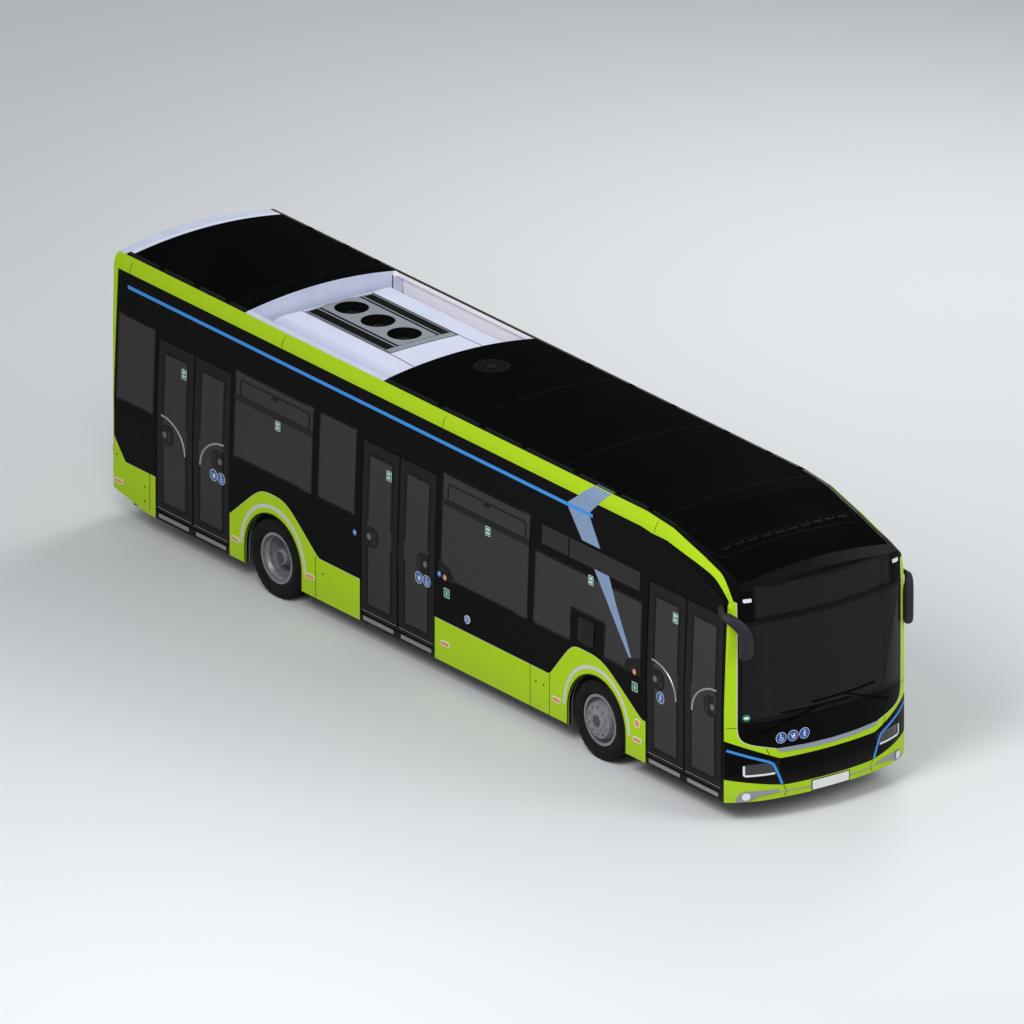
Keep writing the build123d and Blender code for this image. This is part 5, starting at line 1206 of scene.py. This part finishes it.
# Number plate: blank, in a black holder with a raised rim
HOLDER = (-0.268, 0.268, 0.268, 0.398)
PLATE = (-0.260, 0.260, 0.276, 0.390)
RIDGE = (-0.256, 0.256, 0.280, 0.386)
bm = bmesh.new()
on_nose(bm, [rounded(*HOLDER, 0.010)], 0.006, 0.06)
on_nose(bm, frame_of(*HOLDER, 0.010, 0.006), 0.006, 0.1, lift=0.004)
piece("plate_holder", bm, corner_plastic, edge=0.001)
bm = bmesh.new()
on_nose(bm, [rounded(*PLATE, 0.008)], 0.0035, 0.06, lift=0.004)
on_nose(bm, frame_of(*RIDGE, 0.008, 0.004), 0.001, 0.1, lift=0.0075)
piece("number_plate", bm, plate_white, edge=0.001)
# Signs and marker lamps on the nose
NOSE_SIGN_Z, NOSE_SIGN_R = 0.993, 0.064
blue, white, green = bmesh.new(), bmesh.new(), bmesh.new()
for kind, a in (("chair", -0.665), ("pram", -0.515), ("walker", -0.365)):
    on_nose(blue, [disc(a, NOSE_SIGN_Z, NOSE_SIGN_R)], 0.0026, 1.0)
    on_nose(white, ring_of(a, NOSE_SIGN_Z, NOSE_SIGN_R + 0.003, NOSE_SIGN_R - 0.001), 0.0030, 1.0)
    pictogram(white, kind, a, NOSE_SIGN_Z, NOSE_SIGN_R - 0.002, "front", nose_shell, 0.0018)
on_nose(green, [disc(-1.070, 1.290, 0.042)], 0.0026, 1.0)
on_nose(white, [rounded(-1.096, -1.044, 1.276, 1.302, 0.006)], 0.0008, 1.0, lift=0.0016)
piece("nose_signs", blue, sign_blue)
piece("nose_figures", white, sign_white)
piece("screen_sticker", green, sign_green)
bm = bmesh.new()
for side in (-1, 1):
    on_nose(bm, [rounded(side * 1.050 - 0.048, side * 1.050 + 0.048, 2.690, 2.732, 0.010)], 0.014)
piece("nose_markers", bm, lamp_white, edge=0.004)
# Fired border round the windscreen and the sign glass
SCREEN = (-1.142, 1.142, 1.238, 2.432)
SIGN_GLASS = (-0.960, 0.960, 2.468, 2.832)
bm = bmesh.new()
on_nose(bm, frame_of(*SCREEN, 0.05, 0.030), 0.0022, 0.08)
on_nose(bm, frame_of(*SIGN_GLASS, 0.02, 0.016), 0.0022, 0.08)
piece("screen_borders", bm, ceramic)

# ---------------------------------------------------------------------------
# Wipers and mirrors: steel arms under black powder coat, and mirror heads on swan-neck arms.
# The heads are moulded in dark grey ABS, with flat glass facing the driver.
# ---------------------------------------------------------------------------
arm_coat = surface("Black powder coat on steel", "#030303", 0.6, gloss=0.03, grain=1.6, relief=0.08)[0]
mirror_abs = surface("Grained dark grey ABS", "#232329", 0.5, gloss=0.18, grain=2.2, relief=0.12)[0]
silvered = surface("Silvered mirror glass", "#c3c8cd", 0.04, metal=0.95, gloss=0.5, grain=40, relief=0.0,
                   spread=0.02)[0]
glass_front = shell_of("front_mask", "windscreen")
ARM_R, ARM_OFF = 0.0100, 0.012          # radius of the arms, and how far off the glass they run
BLADE_R, BLADE_OFF = 0.0095, 0.0095
RIGHT_WIPER = ((-0.890, 1.095), (-0.658, 1.294), (0.287, 1.284))    # spindle, and both ends of the blade
LEFT_WIPER = ((0.865, 1.100), (0.667, 1.357), (-0.267, 1.352))
bm = bmesh.new()
for hub, start, end in (RIGHT_WIPER, LEFT_WIPER):
    middle = ((start[0] + end[0]) / 2, (start[1] + end[1]) / 2)
    for (y0, z0), (y1, z1), off, r in ((hub, middle, ARM_OFF, ARM_R), (start, end, BLADE_OFF, BLADE_R)):
        line = []
        for i in range(19):
            at_y, at_z = y0 + (y1 - y0) * i / 18, z0 + (z1 - z0) * i / 18
            line.append(glass_front.ray_cast(Vector((9, at_y, at_z)), Vector((-1, 0, 0)))[0]
                        + Vector((off, 0, 0)))
        tube(bm, line, r, 10)
    foot = glass_front.ray_cast(Vector((9, *hub)), Vector((-1, 0, 0)))[0]
    tube(bm, [foot, foot + Vector((0.024, 0, 0))], 0.017, 20)
wiper_pair = piece("wiper_pair", bm, arm_coat, edge=0.001)
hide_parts("wipers")


def sleeve(bm, stations, steps=20):
    """Adds a closed tapering body: rings of two half widths, square to the path through their centres."""
    rings = []
    for i, (place, deep, broad) in enumerate(stations):
        run = Vector(stations[min(i + 1, len(stations) - 1)][0]) - Vector(stations[max(i - 1, 0)][0])
        run.normalize()
        aim = Vector((1, 0, 0))
        one = (aim - run * aim.dot(run)).normalized()
        two = run.cross(one)
        ring = []
        for k in range(steps):
            a = 2 * pi * k / steps
            p, q = abs(cos(a)) ** 0.7 * (1 if cos(a) > 0 else -1), abs(sin(a)) ** 0.7 * (1 if sin(a) > 0
                                                                                         else -1)
            ring.append(bm.verts.new(Vector(place) + one * deep * p + two * broad * q))
        rings.append(ring)
    for a, b in zip(rings, rings[1:]):
        for k in range(steps):
            bm.faces.new((a[k], a[(k + 1) % steps], b[(k + 1) % steps], b[k]))
    bm.faces.new(rings[0][::-1])
    bm.faces.new(rings[-1])


RIGHT = [((5.655, -1.205, 2.590), 0.040, 0.050), ((5.700, -1.270, 2.594), 0.040, 0.052),
         ((5.760, -1.315, 2.592), 0.040, 0.055), ((5.830, -1.325, 2.575), 0.042, 0.058),
         ((5.900, -1.300, 2.545), 0.044, 0.062), ((5.955, -1.252, 2.500), 0.046, 0.066),
         ((5.990, -1.200, 2.440), 0.050, 0.072), ((6.006, -1.160, 2.375), 0.053, 0.078),
         ((6.010, -1.145, 2.305), 0.056, 0.084), ((6.010, -1.142, 2.230), 0.058, 0.088),
         ((6.010, -1.140, 2.140), 0.058, 0.090), ((6.008, -1.140, 2.080), 0.054, 0.084),
         ((6.006, -1.140, 2.056), 0.040, 0.062)]
LEFT = [((5.645, 1.205, 2.450), 0.034, 0.040), ((5.680, 1.275, 2.455), 0.034, 0.040),
        ((5.720, 1.318, 2.455), 0.034, 0.040), ((5.775, 1.322, 2.450), 0.036, 0.042),
        ((5.822, 1.306, 2.425), 0.038, 0.046), ((5.845, 1.290, 2.375), 0.042, 0.052),
        ((5.850, 1.283, 2.310), 0.045, 0.058), ((5.850, 1.281, 2.200), 0.046, 0.060),
        ((5.850, 1.281, 2.000), 0.046, 0.060), ((5.850, 1.281, 1.925), 0.045, 0.058),
        ((5.850, 1.281, 1.885), 0.040, 0.050), ((5.850, 1.281, 1.868), 0.028, 0.034)]
for word, stations, middle, half_w, low, high in (("right", RIGHT, -1.141, 0.070, 2.10, 2.33),
                                                  ("left", LEFT, 1.281, 0.046, 1.93, 2.30)):
    bm = bmesh.new()
    sleeve(bm, stations)
    bmesh.ops.recalc_face_normals(bm, faces=bm.faces[:])
    shell = BVHTree.FromBMesh(bm)
    made = piece(f"{word}_mirror_arm", bm, mirror_abs, crease=50)
    made.modifiers.new("round", "SUBSURF").levels = 1
    made.modifiers["round"].render_levels = 1
    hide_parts(f"{word}_mirror")
    glass, rim = bmesh.new(), bmesh.new()
    lay(glass, [rounded(middle - half_w, middle + half_w, low, high, 0.03)], "rear", shell, 0.004, 0.5,
        lift=-0.002)
    lay(rim, frame_of(middle - half_w - 0.008, middle + half_w + 0.008, low - 0.008, high + 0.008, 0.036,
                      0.008), "rear", shell, 0.008, 0.5, lift=-0.003)
    piece(f"{word}_mirror_glass", glass, silvered)
    piece(f"{word}_mirror_rim", rim, corner_plastic, edge=0.001)

# ---------------------------------------------------------------------------
# Tail: upright lamp clusters, bonded window, a service flap with louvres, and a blank number plate.
# The wall is painted glass fibre on an aluminium frame; everything else is clipped or bonded on.
# ---------------------------------------------------------------------------
tail_shell = shell_of("rear_wall", "rear_window", "lamps", "roof_shell")
LAMP_Y, LAMP_Z = 1.110, (0.760, 1.290)  # middle of the lamp clusters, and their foot and top
LAMP_R, LAMP_RING = 0.050, 0.059
HIGH_LAMPS = (2.655, 2.690)             # the lamps under the roof edge, foot and top
REAR_WINDOW = (-1.006, 1.006, 1.504, 2.476)


def on_tail(bm, outlines, thick, step=0.08, lift=-0.001):
    """Lays a plate on the tail, seen from behind."""
    lay(bm, outlines, "rear", tail_shell, thick, step, lift)


# Red polycarbonate: glossy, with a fine moulded grain
red_lens = surface("Red polycarbonate", "#8e1416", 0.15, gloss=0.5, grain=3, relief=0.06)[0]
red, orange, clear, rings, locks = (bmesh.new() for i in range(5))
for side in (-1, 1):
    for z, bm in ((1.215, orange), (1.090, red), (0.965, red), (0.840, clear)):
        on_tail(bm, [disc(side * LAMP_Y, z, LAMP_R)], 0.008, 1.0)
        on_tail(rings, ring_of(side * LAMP_Y, z, LAMP_RING, LAMP_R, 28), 0.010, 1.0)
    on_tail(rings, frame_of(side * LAMP_Y - 0.084, side * LAMP_Y + 0.084, LAMP_Z[0] - 0.004,
                            LAMP_Z[1] + 0.004, 0.012, 0.010), 0.006, 0.1)
    on_tail(red, [rounded(side * 1.04 - 0.045, side * 1.04 + 0.045, *HIGH_LAMPS, 0.010)], 0.010, 0.1)
    on_tail(orange, [rounded(side * 0.88 - 0.045, side * 0.88 + 0.045, *HIGH_LAMPS, 0.010)], 0.010, 0.1)
    on_tail(red, [rounded(side * 0.98 - 0.050, side * 0.98 + 0.050, 0.585, 0.625, 0.010)], 0.007, 0.1)
    on_tail(locks, [disc(side * 0.86, 0.745, 0.020, 16)], 0.004, 1.0)
on_tail(red, [rounded(-0.20, 0.20, 2.655, 2.682, 0.008)], 0.009, 0.1)
corner = shell_of("rear_wall", "right_side_wall", "left_side_wall")
for view in ("right", "left"):
    lay(red, [rounded(-6.030, -6.006, 0.770, 0.890, 0.006)], view, corner, 0.005, 0.02)
    lay(orange, [rounded(-6.036, -5.996, 0.580, 0.614, 0.008)], view, corner, 0.005, 0.02)
    for x, z in ((-5.900, 0.820), (-5.360, 0.583), (-5.360, 0.40), (-1.90, 0.60), (2.20, 0.60),
                 (2.35, 0.60)):
        lay(locks, [disc(x, z, 0.013, 14)], view, corner, 0.003, 1.0)
piece("red_lenses", red, red_lens, edge=0.002)
piece("orange_lenses", orange, amber, edge=0.002)
piece("reversing_lamps", clear, lamp_white, edge=0.002)
piece("tail_lamp_rings", rings, corner_plastic, edge=0.0015)
piece("flap_locks", locks, corner_plastic, edge=0.001)
# Service flap: an open joint all round, a hinge line along its top, and louvres let into it
FLAP = (-0.985, 0.985, 0.655, 1.405)
bm = bmesh.new()
on_tail(bm, frame_of(*FLAP, 0.05, 0.009), 0.0030, lift=-0.002)
for side in (-1, 1):
    on_tail(bm, strip([(side * 0.995, 0.64), (side * 1.22, 0.64)], 0.008), 0.0030, 0.05, lift=-0.002)
on_tail(bm, strip([(-1.16 + 0.08 * i, 2.56) for i in range(30)], 0.008), 0.0030, 0.1, lift=-0.002)
piece("tail_joints", bm, sealant)
slats, frame_bm = bmesh.new(), bmesh.new()
LOUVRE_HALF = 0.60
on_tail(frame_bm, frame_of(-LOUVRE_HALF - 0.02, LOUVRE_HALF + 0.02, 0.985, 1.325, 0.03, 0.016), 0.008)
for i in range(9):
    z = 1.016 + 0.0345 * i
    on_tail(slats, [oblong(-LOUVRE_HALF, LOUVRE_HALF, z - 0.009, z + 0.009)], 0.007)
piece("louvre_frame", frame_bm, corner_plastic, edge=0.002)
piece("louvre_slats", slats, corner_plastic, edge=0.002)
bm = bmesh.new()
on_tail(bm, [oblong(-LOUVRE_HALF, LOUVRE_HALF, 1.00, 1.31)], 0.002)
piece("louvre_mesh", bm, grille_black)
# Blank plate under a lamp hood
TAIL_HOLDER = (-0.270, 0.270, 0.790, 0.918)
TAIL_PLATE = (-0.260, 0.260, 0.798, 0.910)
HOOD = (-0.11, 0.11, 0.928, 0.952)
bm = bmesh.new()
on_tail(bm, [rounded(*TAIL_HOLDER, 0.010)], 0.005, 0.06)
on_tail(bm, [rounded(*HOOD, 0.008)], 0.016, 0.06)
piece("tail_plate_holder", bm, corner_plastic, edge=0.002)
bm = bmesh.new()
on_tail(bm, [rounded(*TAIL_PLATE, 0.008)], 0.0030, 0.06, lift=0.003)
piece("tail_plate", bm, plate_white, edge=0.001)
# Fired border round the window, with a small route display behind it
bm = bmesh.new()
on_tail(bm, frame_of(*REAR_WINDOW, 0.06, 0.035), 0.0020)
piece("tail_border", bm, ceramic)
bm = bmesh.new()
on_tail(bm, [rounded(-0.86, -0.46, 2.20, 2.40, 0.008)], 0.0024)
piece("tail_display", bm, smoked)

# Driver's window on the left: a sliding light in a black frame with a finger pull
SLIDING = (4.290, 5.200, 1.400, 2.300)
bm = bmesh.new()
lay(bm, frame_of(*SLIDING, 0.05, 0.022), "left", window_shell, 0.008, 0.3)
lay(bm, [oblong(4.735, 4.765, 1.42, 2.28)], "left", window_shell, 0.009, 0.3)
lay(bm, [rounded(4.80, 4.825, 1.78, 1.92, 0.008)], "left", window_shell, 0.014, 1.0, lift=0.0)
piece("drivers_window_frame", bm, anodised, edge=0.002)

# ---------------------------------------------------------------------------
# Wheels: 22.5 inch steel rims with ten nuts, and tubeless city tyres with four tread grooves.
# The tyre is drawn round its own profile, with ribs on its walls and notched shoulders.
# ---------------------------------------------------------------------------
# Carbon-black rubber: matt, with patches of brown-grey dust
tyre_rubber, tree, shader, place = surface("Carbon-black tyre rubber", "#0b0a0a", 0.78, gloss=0.18,
                                           grain=3.5, relief=0.35)
shade = weathered(tree, place, "#0b0a0a", "#25221f", 9.0, 6.0, 0.48, 0.8, 0.5)
tree.links.new(shade, shader.inputs["Base Color"])
TYRE_W = 0.275
BEAD_R = 0.286
w = TYRE_W / 2
GROOVE = 0.011                          # depth of the tread grooves
GROOVES = (-0.068, -0.023, 0.023, 0.068)
NOTCH = 0.007                           # depth of the notches in the shoulders, one in four steps round
half = [(0.0965, BEAD_R), (0.0965, BEAD_R + 0.018), (0.112, BEAD_R + 0.030), (w - 0.009, BEAD_R + 0.047),
        (w - 0.006, BEAD_R + 0.055), (w - 0.004, BEAD_R + 0.058), (w - 0.004, BEAD_R + 0.064),
        (w - 0.002, BEAD_R + 0.068), (w - 0.001, BEAD_R + 0.095), (w, BEAD_R + 0.098), (w, BEAD_R + 0.112),
        (w - 0.002, BEAD_R + 0.116), (w - 0.005, tyre_r - 0.048), (w - 0.008, tyre_r - 0.034),
        (w - 0.012, tyre_r - 0.030), (w - 0.020, tyre_r - 0.010), (w - 0.030, tyre_r - 0.004)]
tread = []
for middle in GROOVES:
    tread += [(middle - 0.0060, tyre_r), (middle - 0.0040, tyre_r - GROOVE),
              (middle + 0.0040, tyre_r - GROOVE), (middle + 0.0060, tyre_r)]
profile = [(-a, r) for a, r in half] + tread + [(a, r) for a, r in reversed(half)]
TURNS = 144
valve = surface("Nickel-plated valve brass", "#8d8a80", 0.3, metal=0.8, grain=1, relief=0.02)[0]
for end, axle in zip(("front", "rear"), axles):
    for side, word in ((1, "left"), (-1, "right")):
        corner = f"{end}_{word}"
        low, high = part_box(f"{corner}_tyre")
        outer = (high.y if side > 0 else low.y) - side * w
        middles = [outer] if end == "front" else [outer, side * (abs(low.y if side > 0 else high.y) + w)]
        bm = bmesh.new()
        for middle in middles:
            rings = []
            for k in range(TURNS):
                angle = 2 * pi * k / TURNS
                ring = []
                for a, r in profile:
                    if k % 4 == 0 and abs(a) > 0.100 and r > tyre_r - 0.032:
                        r -= NOTCH
                    ring.append(bm.verts.new((axle + r * cos(angle), middle + a, tyre_r + r * sin(angle))))
                rings.append(ring)
            for k in range(TURNS):
                one, two = rings[k], rings[(k + 1) % TURNS]
                for i in range(len(profile)):
                    j = (i + 1) % len(profile)
                    bm.faces.new((one[i], one[j], two[j], two[i]))
        bmesh.ops.recalc_face_normals(bm, faces=bm.faces[:])
        made = piece(f"{corner}_tread", bm, tyre_rubber, body=f"{corner}_wheel")
        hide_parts(f"{corner}_tyre")
        bm = bmesh.new()
        tube(bm, [(axle + 0.238, outer + side * 0.040, tyre_r),
                  (axle + 0.232, outer + side * 0.078, tyre_r),
                  (axle + 0.226, outer + side * 0.098, tyre_r)], 0.0055, 10)
        tube(bm, [(axle + 0.2265, outer + side * 0.096, tyre_r),
                  (axle + 0.224, outer + side * 0.112, tyre_r)], 0.0075, 10)
        piece(f"{corner}_valve", bm, valve, body=f"{corner}_wheel")
HUB_R, LIP_R = 0.072, 0.297             # bare steel inside the one, a clean lip outside the other
# Silver lacquer on pressed steel: dull, with grey brake dust in patches, a dark hub and a clean lip
rim_paint, tree, shader, place = surface("Silver lacquer on pressed steel", "#85868c", 0.40, metal=0.25,
                                         gloss=0.35, grain=2.5, relief=0.06)
x, y, z = (add(tree, "SeparateXYZ", place, out=i) for i in range(3))
apart = [add(tree, "Math", add(tree, "Math", x, axle, operation="SUBTRACT"), operation="ABSOLUTE")
         for axle in axles]
reach = add(tree, "Math", *apart, operation="MINIMUM")
reach = add(tree, "Math", reach, 2.0, operation="POWER")
rise = add(tree, "Math", z, tyre_r, operation="SUBTRACT")
rise = add(tree, "Math", rise, 2.0, operation="POWER")
reach = add(tree, "Math", reach, rise, operation="ADD")
reach = add(tree, "Math", reach, 0.5, operation="POWER")
shade = weathered(tree, place, "#85868c", "#5c5a5a", 22.0, 6.0, 0.40, 0.75, 0.65)
hub = add(tree, "Math", reach, HUB_R, operation="LESS_THAN")
shade = add(tree, "Mix", named={0: hub, 6: shade, 7: "#47444a"}, out=2, data_type="RGBA")
lip = add(tree, "Math", reach, LIP_R, operation="GREATER_THAN")
shade = add(tree, "Mix", named={0: lip, 6: shade, 7: "#9b9a9a"}, out=2, data_type="RGBA")
tree.links.new(shade, shader.inputs["Base Color"])
# Forged and cast iron: rough, rust-brown in its grain under black primer
primer, tree, shader, place = surface("Black primer on forged steel", "#1b1a19", 0.6, metal=0.2, gloss=0.25,
                                      grain=3, relief=0.3)
shade = weathered(tree, place, "#1b1a19", "#4a2f1d", 16.0, 7.0, 0.58, 0.8, 0.8)
tree.links.new(shade, shader.inputs["Base Color"])
dress(rim_paint, *(name for name in nodes if name.endswith("_rim")))
dress(primer, "chassis_frame", *(name for name in nodes if name.endswith(("_axle", "_knuckle"))))

# ---------------------------------------------------------------------------
# Cabin: moulded seats with upholstered pads, yellow poles, vinyl floor and the driver's place.
# Pads are foam under flat-woven moquette, glued to the shells, with a stitched channel down each.
# ---------------------------------------------------------------------------
# Flat-woven wool moquette: matt, flecked, threads 2 mm apart drawn at 6 mm so that they show
moquette, tree, shader, place = surface("Wool moquette", "#2c4a78", 0.9, gloss=0.1)
shader.inputs["Sheen Weight"].default_value = 0.25
weave = 0.0
for way in ("X", "Y", "Z"):
    thread = add(tree, "TexWave", named={"Vector": place, "Scale": ridges(6)}, bands_direction=way)
    weave = add(tree, "Math", thread, weave, operation="ADD")
bump = add(tree, "Bump", named={"Height": weave, "Strength": 0.5, "Distance": 0.0008})
tree.links.new(bump, shader.inputs["Normal"])
fleck = add(tree, "TexVoronoi", named={"Vector": place, "Scale": 60.0})
fleck = add(tree, "Math", fleck, 0.22, operation="LESS_THAN")
shade = add(tree, "Mix", named={0: fleck, 6: "#2c4a78", 7: "#8fb41f"}, out=2, data_type="RGBA")
tree.links.new(shade, shader.inputs["Base Color"])
seat_shell = surface("Moulded grey polypropylene", "#3c3e41", 0.5, gloss=0.25, grain=1.5, relief=0.08)[0]
pole_yellow = surface("Yellow powder coat on steel tube", "#d8a71c", 0.35, gloss=0.35, grain=1.5,
                      relief=0.03)[0]
lining = surface("Light grey laminate", "#8b8d8f", 0.5, gloss=0.25, grain=2, relief=0.05)[0]
dash_abs = surface("Grained charcoal ABS", "#222326", 0.6, gloss=0.2, grain=2.5, relief=0.15)[0]
soft_grip = surface("Skinned polyurethane foam", "#151516", 0.55, gloss=0.25, grain=1.2, relief=0.08)[0]
zinc = surface("Zinc-plated steel tube", "#6c6e70", 0.38, metal=0.7, grain=2, relief=0.03)[0]
# Safety vinyl: dark grey with pale flecks, scuffed in patches
vinyl, tree, shader, place = surface("Flecked safety vinyl", "#45474a", 0.65, gloss=0.2, grain=2,
                                     relief=0.2)
fleck = add(tree, "TexVoronoi", named={"Vector": place, "Scale": 90.0})
fleck = add(tree, "Math", fleck, 0.2, operation="LESS_THAN")
scuff = add(tree, "TexNoise", named={"Vector": place, "Scale": 5.0, "Detail": 6.0})
scuff = add(tree, "MapRange", scuff, 0.45, 0.75, 0.0, 0.5)
shade = add(tree, "Mix", named={0: fleck, 6: "#45474a", 7: "#85888b"}, out=2, data_type="RGBA")
shade = add(tree, "Mix", named={0: scuff, 6: shade, 7: "#5d5b57"}, out=2, data_type="RGBA")
tree.links.new(shade, shader.inputs["Base Color"])
dress(vinyl, "cabin_floor", "wheel_boxes")
dress(seat_shell, "seats", "driver_seat")
dress(pole_yellow, "handrails")
dress(lining, "driver_partition", "door_drive_covers")
dress(dash_abs, "dashboard")
dress(soft_grip, "steering_wheel")
dress(corner_plastic, "charging_flap")
dress(zinc, *(name for name in nodes if name.endswith("_post")))


def pad(bm, centre, along, across, long, wide, thick, steps=10):
    """Adds a crowned cushion on a plane: edges pulled in between its corners, one channel down the middle."""
    out = along.cross(across).normalized()
    grid = {}
    for level in (1, -1):
        for i in range(steps + 1):
            for j in range(steps + 1):
                u, v = 2 * i / steps - 1, 2 * j / steps - 1
                crown = (1 - abs(u) ** 4) * (1 - abs(v) ** 4)
                groove = 0.35 if abs(v) < 0.15 else 0.0
                pull = 1 - 0.04 * (1 - u * u) if abs(v) == 1 else 1
                draw = 1 - 0.04 * (1 - v * v) if abs(u) == 1 else 1
                rise = thick * (0.25 + 0.75 * crown - groove * crown) if level > 0 else -0.004
                if level > 0 or 0 < i < steps and 0 < j < steps:
                    spot = centre + along * (u * long / 2 * draw) + across * (v * wide / 2
                                                                              * pull) + out * rise
                    grid[level, i, j] = bm.verts.new(spot)
    for level in (1, -1):
        for i in range(steps):
            for j in range(steps):
                ring = [(i, j), (i + 1, j), (i + 1, j + 1), (i, j + 1)]
                verts = [grid.get((level, *c)) or grid[1, c[0], c[1]] for c in ring]
                bm.faces.new(verts if level > 0 else verts[::-1])


def solids_of(name):
    """Corners of each separate solid of a CAD node."""
    mesh = nodes[name].data
    group = list(range(len(mesh.vertices)))

    def root(i):
        """First corner of the solid that a corner belongs to."""
        while group[i] != i:
            group[i] = group[group[i]]
            i = group[i]
        return i
    for a, b in mesh.edge_keys:
        group[root(a)] = root(b)
    seen = {}
    for i, vert in enumerate(mesh.vertices):
        seen.setdefault(tuple(round(c, 4) for c in vert.co), []).append(i)
    for same in seen.values():
        for i in same[1:]:
            group[root(i)] = root(same[0])
    parts = {}
    for i, vert in enumerate(mesh.vertices):
        parts.setdefault(root(i), []).append(vert.co)
    return parts.values()


PAN_LONG, BACK_TALL, BACK_RAKE = 0.400, 0.570, 0.095    # sizes of the seat shells
for name in ("seats", "driver_seat"):
    bm = bmesh.new()
    for points in solids_of(name):
        top = max(p.z for p in points)
        crest = [p.x for p in points if p.z > top - 0.03]
        back = sum(crest) / len(crest)
        front = max((p.x for p in points), key=lambda value: abs(value - back))
        way = 1 if front > back else -1
        y = (max(p.y for p in points) + min(p.y for p in points)) / 2
        start = front - way * PAN_LONG
        pan = top - BACK_TALL
        tilt = Vector((way * PAN_LONG, 0, 0.015)).normalized()
        pad(bm, Vector((start + way * 0.205, y, pan + 0.010)), tilt * way, Vector((0, 1, 0)), 0.37, 0.38,
            0.020)
        rise = Vector((-way * BACK_RAKE, 0, BACK_TALL)).normalized()
        pad(bm, Vector((start - way * 0.048, y, pan + 0.30)), rise, Vector((0, way, 0)), 0.46, 0.37, 0.020)
    bmesh.ops.recalc_face_normals(bm, faces=bm.faces[:])
    made = piece(f"{name}_pads", bm, moquette, crease=60)
# Instrument cowl and a row of switches on the dashboard
dash_low, dash_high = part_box("dashboard")
COWL_Y, COWL_W = 0.44, 0.50
bm = bmesh.new()
cowl = [(0.0, 0.0), (0.02, 0.075), (0.10, 0.095), (0.20, 0.07), (0.24, 0.0)]
for i in range(13):
    y = COWL_Y + COWL_W * i / 12
    swell = 0.9 + 0.1 * sin(pi * i / 12)
    ring = [bm.verts.new((dash_low.x + 0.05 + a, y, dash_high.z + b * swell)) for a, b in cowl]
    if i:
        for k in range(len(cowl) - 1):
            bm.faces.new((last[k], last[k + 1], ring[k + 1], ring[k]))
        bm.faces.new((last[-1], last[0], ring[0], ring[-1]))
    else:
        bm.faces.new(ring)
    last = ring
bm.faces.new(last[::-1])
bmesh.ops.recalc_face_normals(bm, faces=bm.faces[:])
piece("instrument_cowl", bm, dash_abs, edge=0.004)
bm = bmesh.new()
dash_shell = shell_of("dashboard")
for i in range(6):
    lay(bm, [rounded(dash_low.x + 0.05, dash_low.x + 0.08, 0.12 + 0.04 * i, 0.15 + 0.04 * i, 0.004)], "top",
        dash_shell, 0.010, 1.0)
piece("dash_switches", bm, button_grey, edge=0.002)
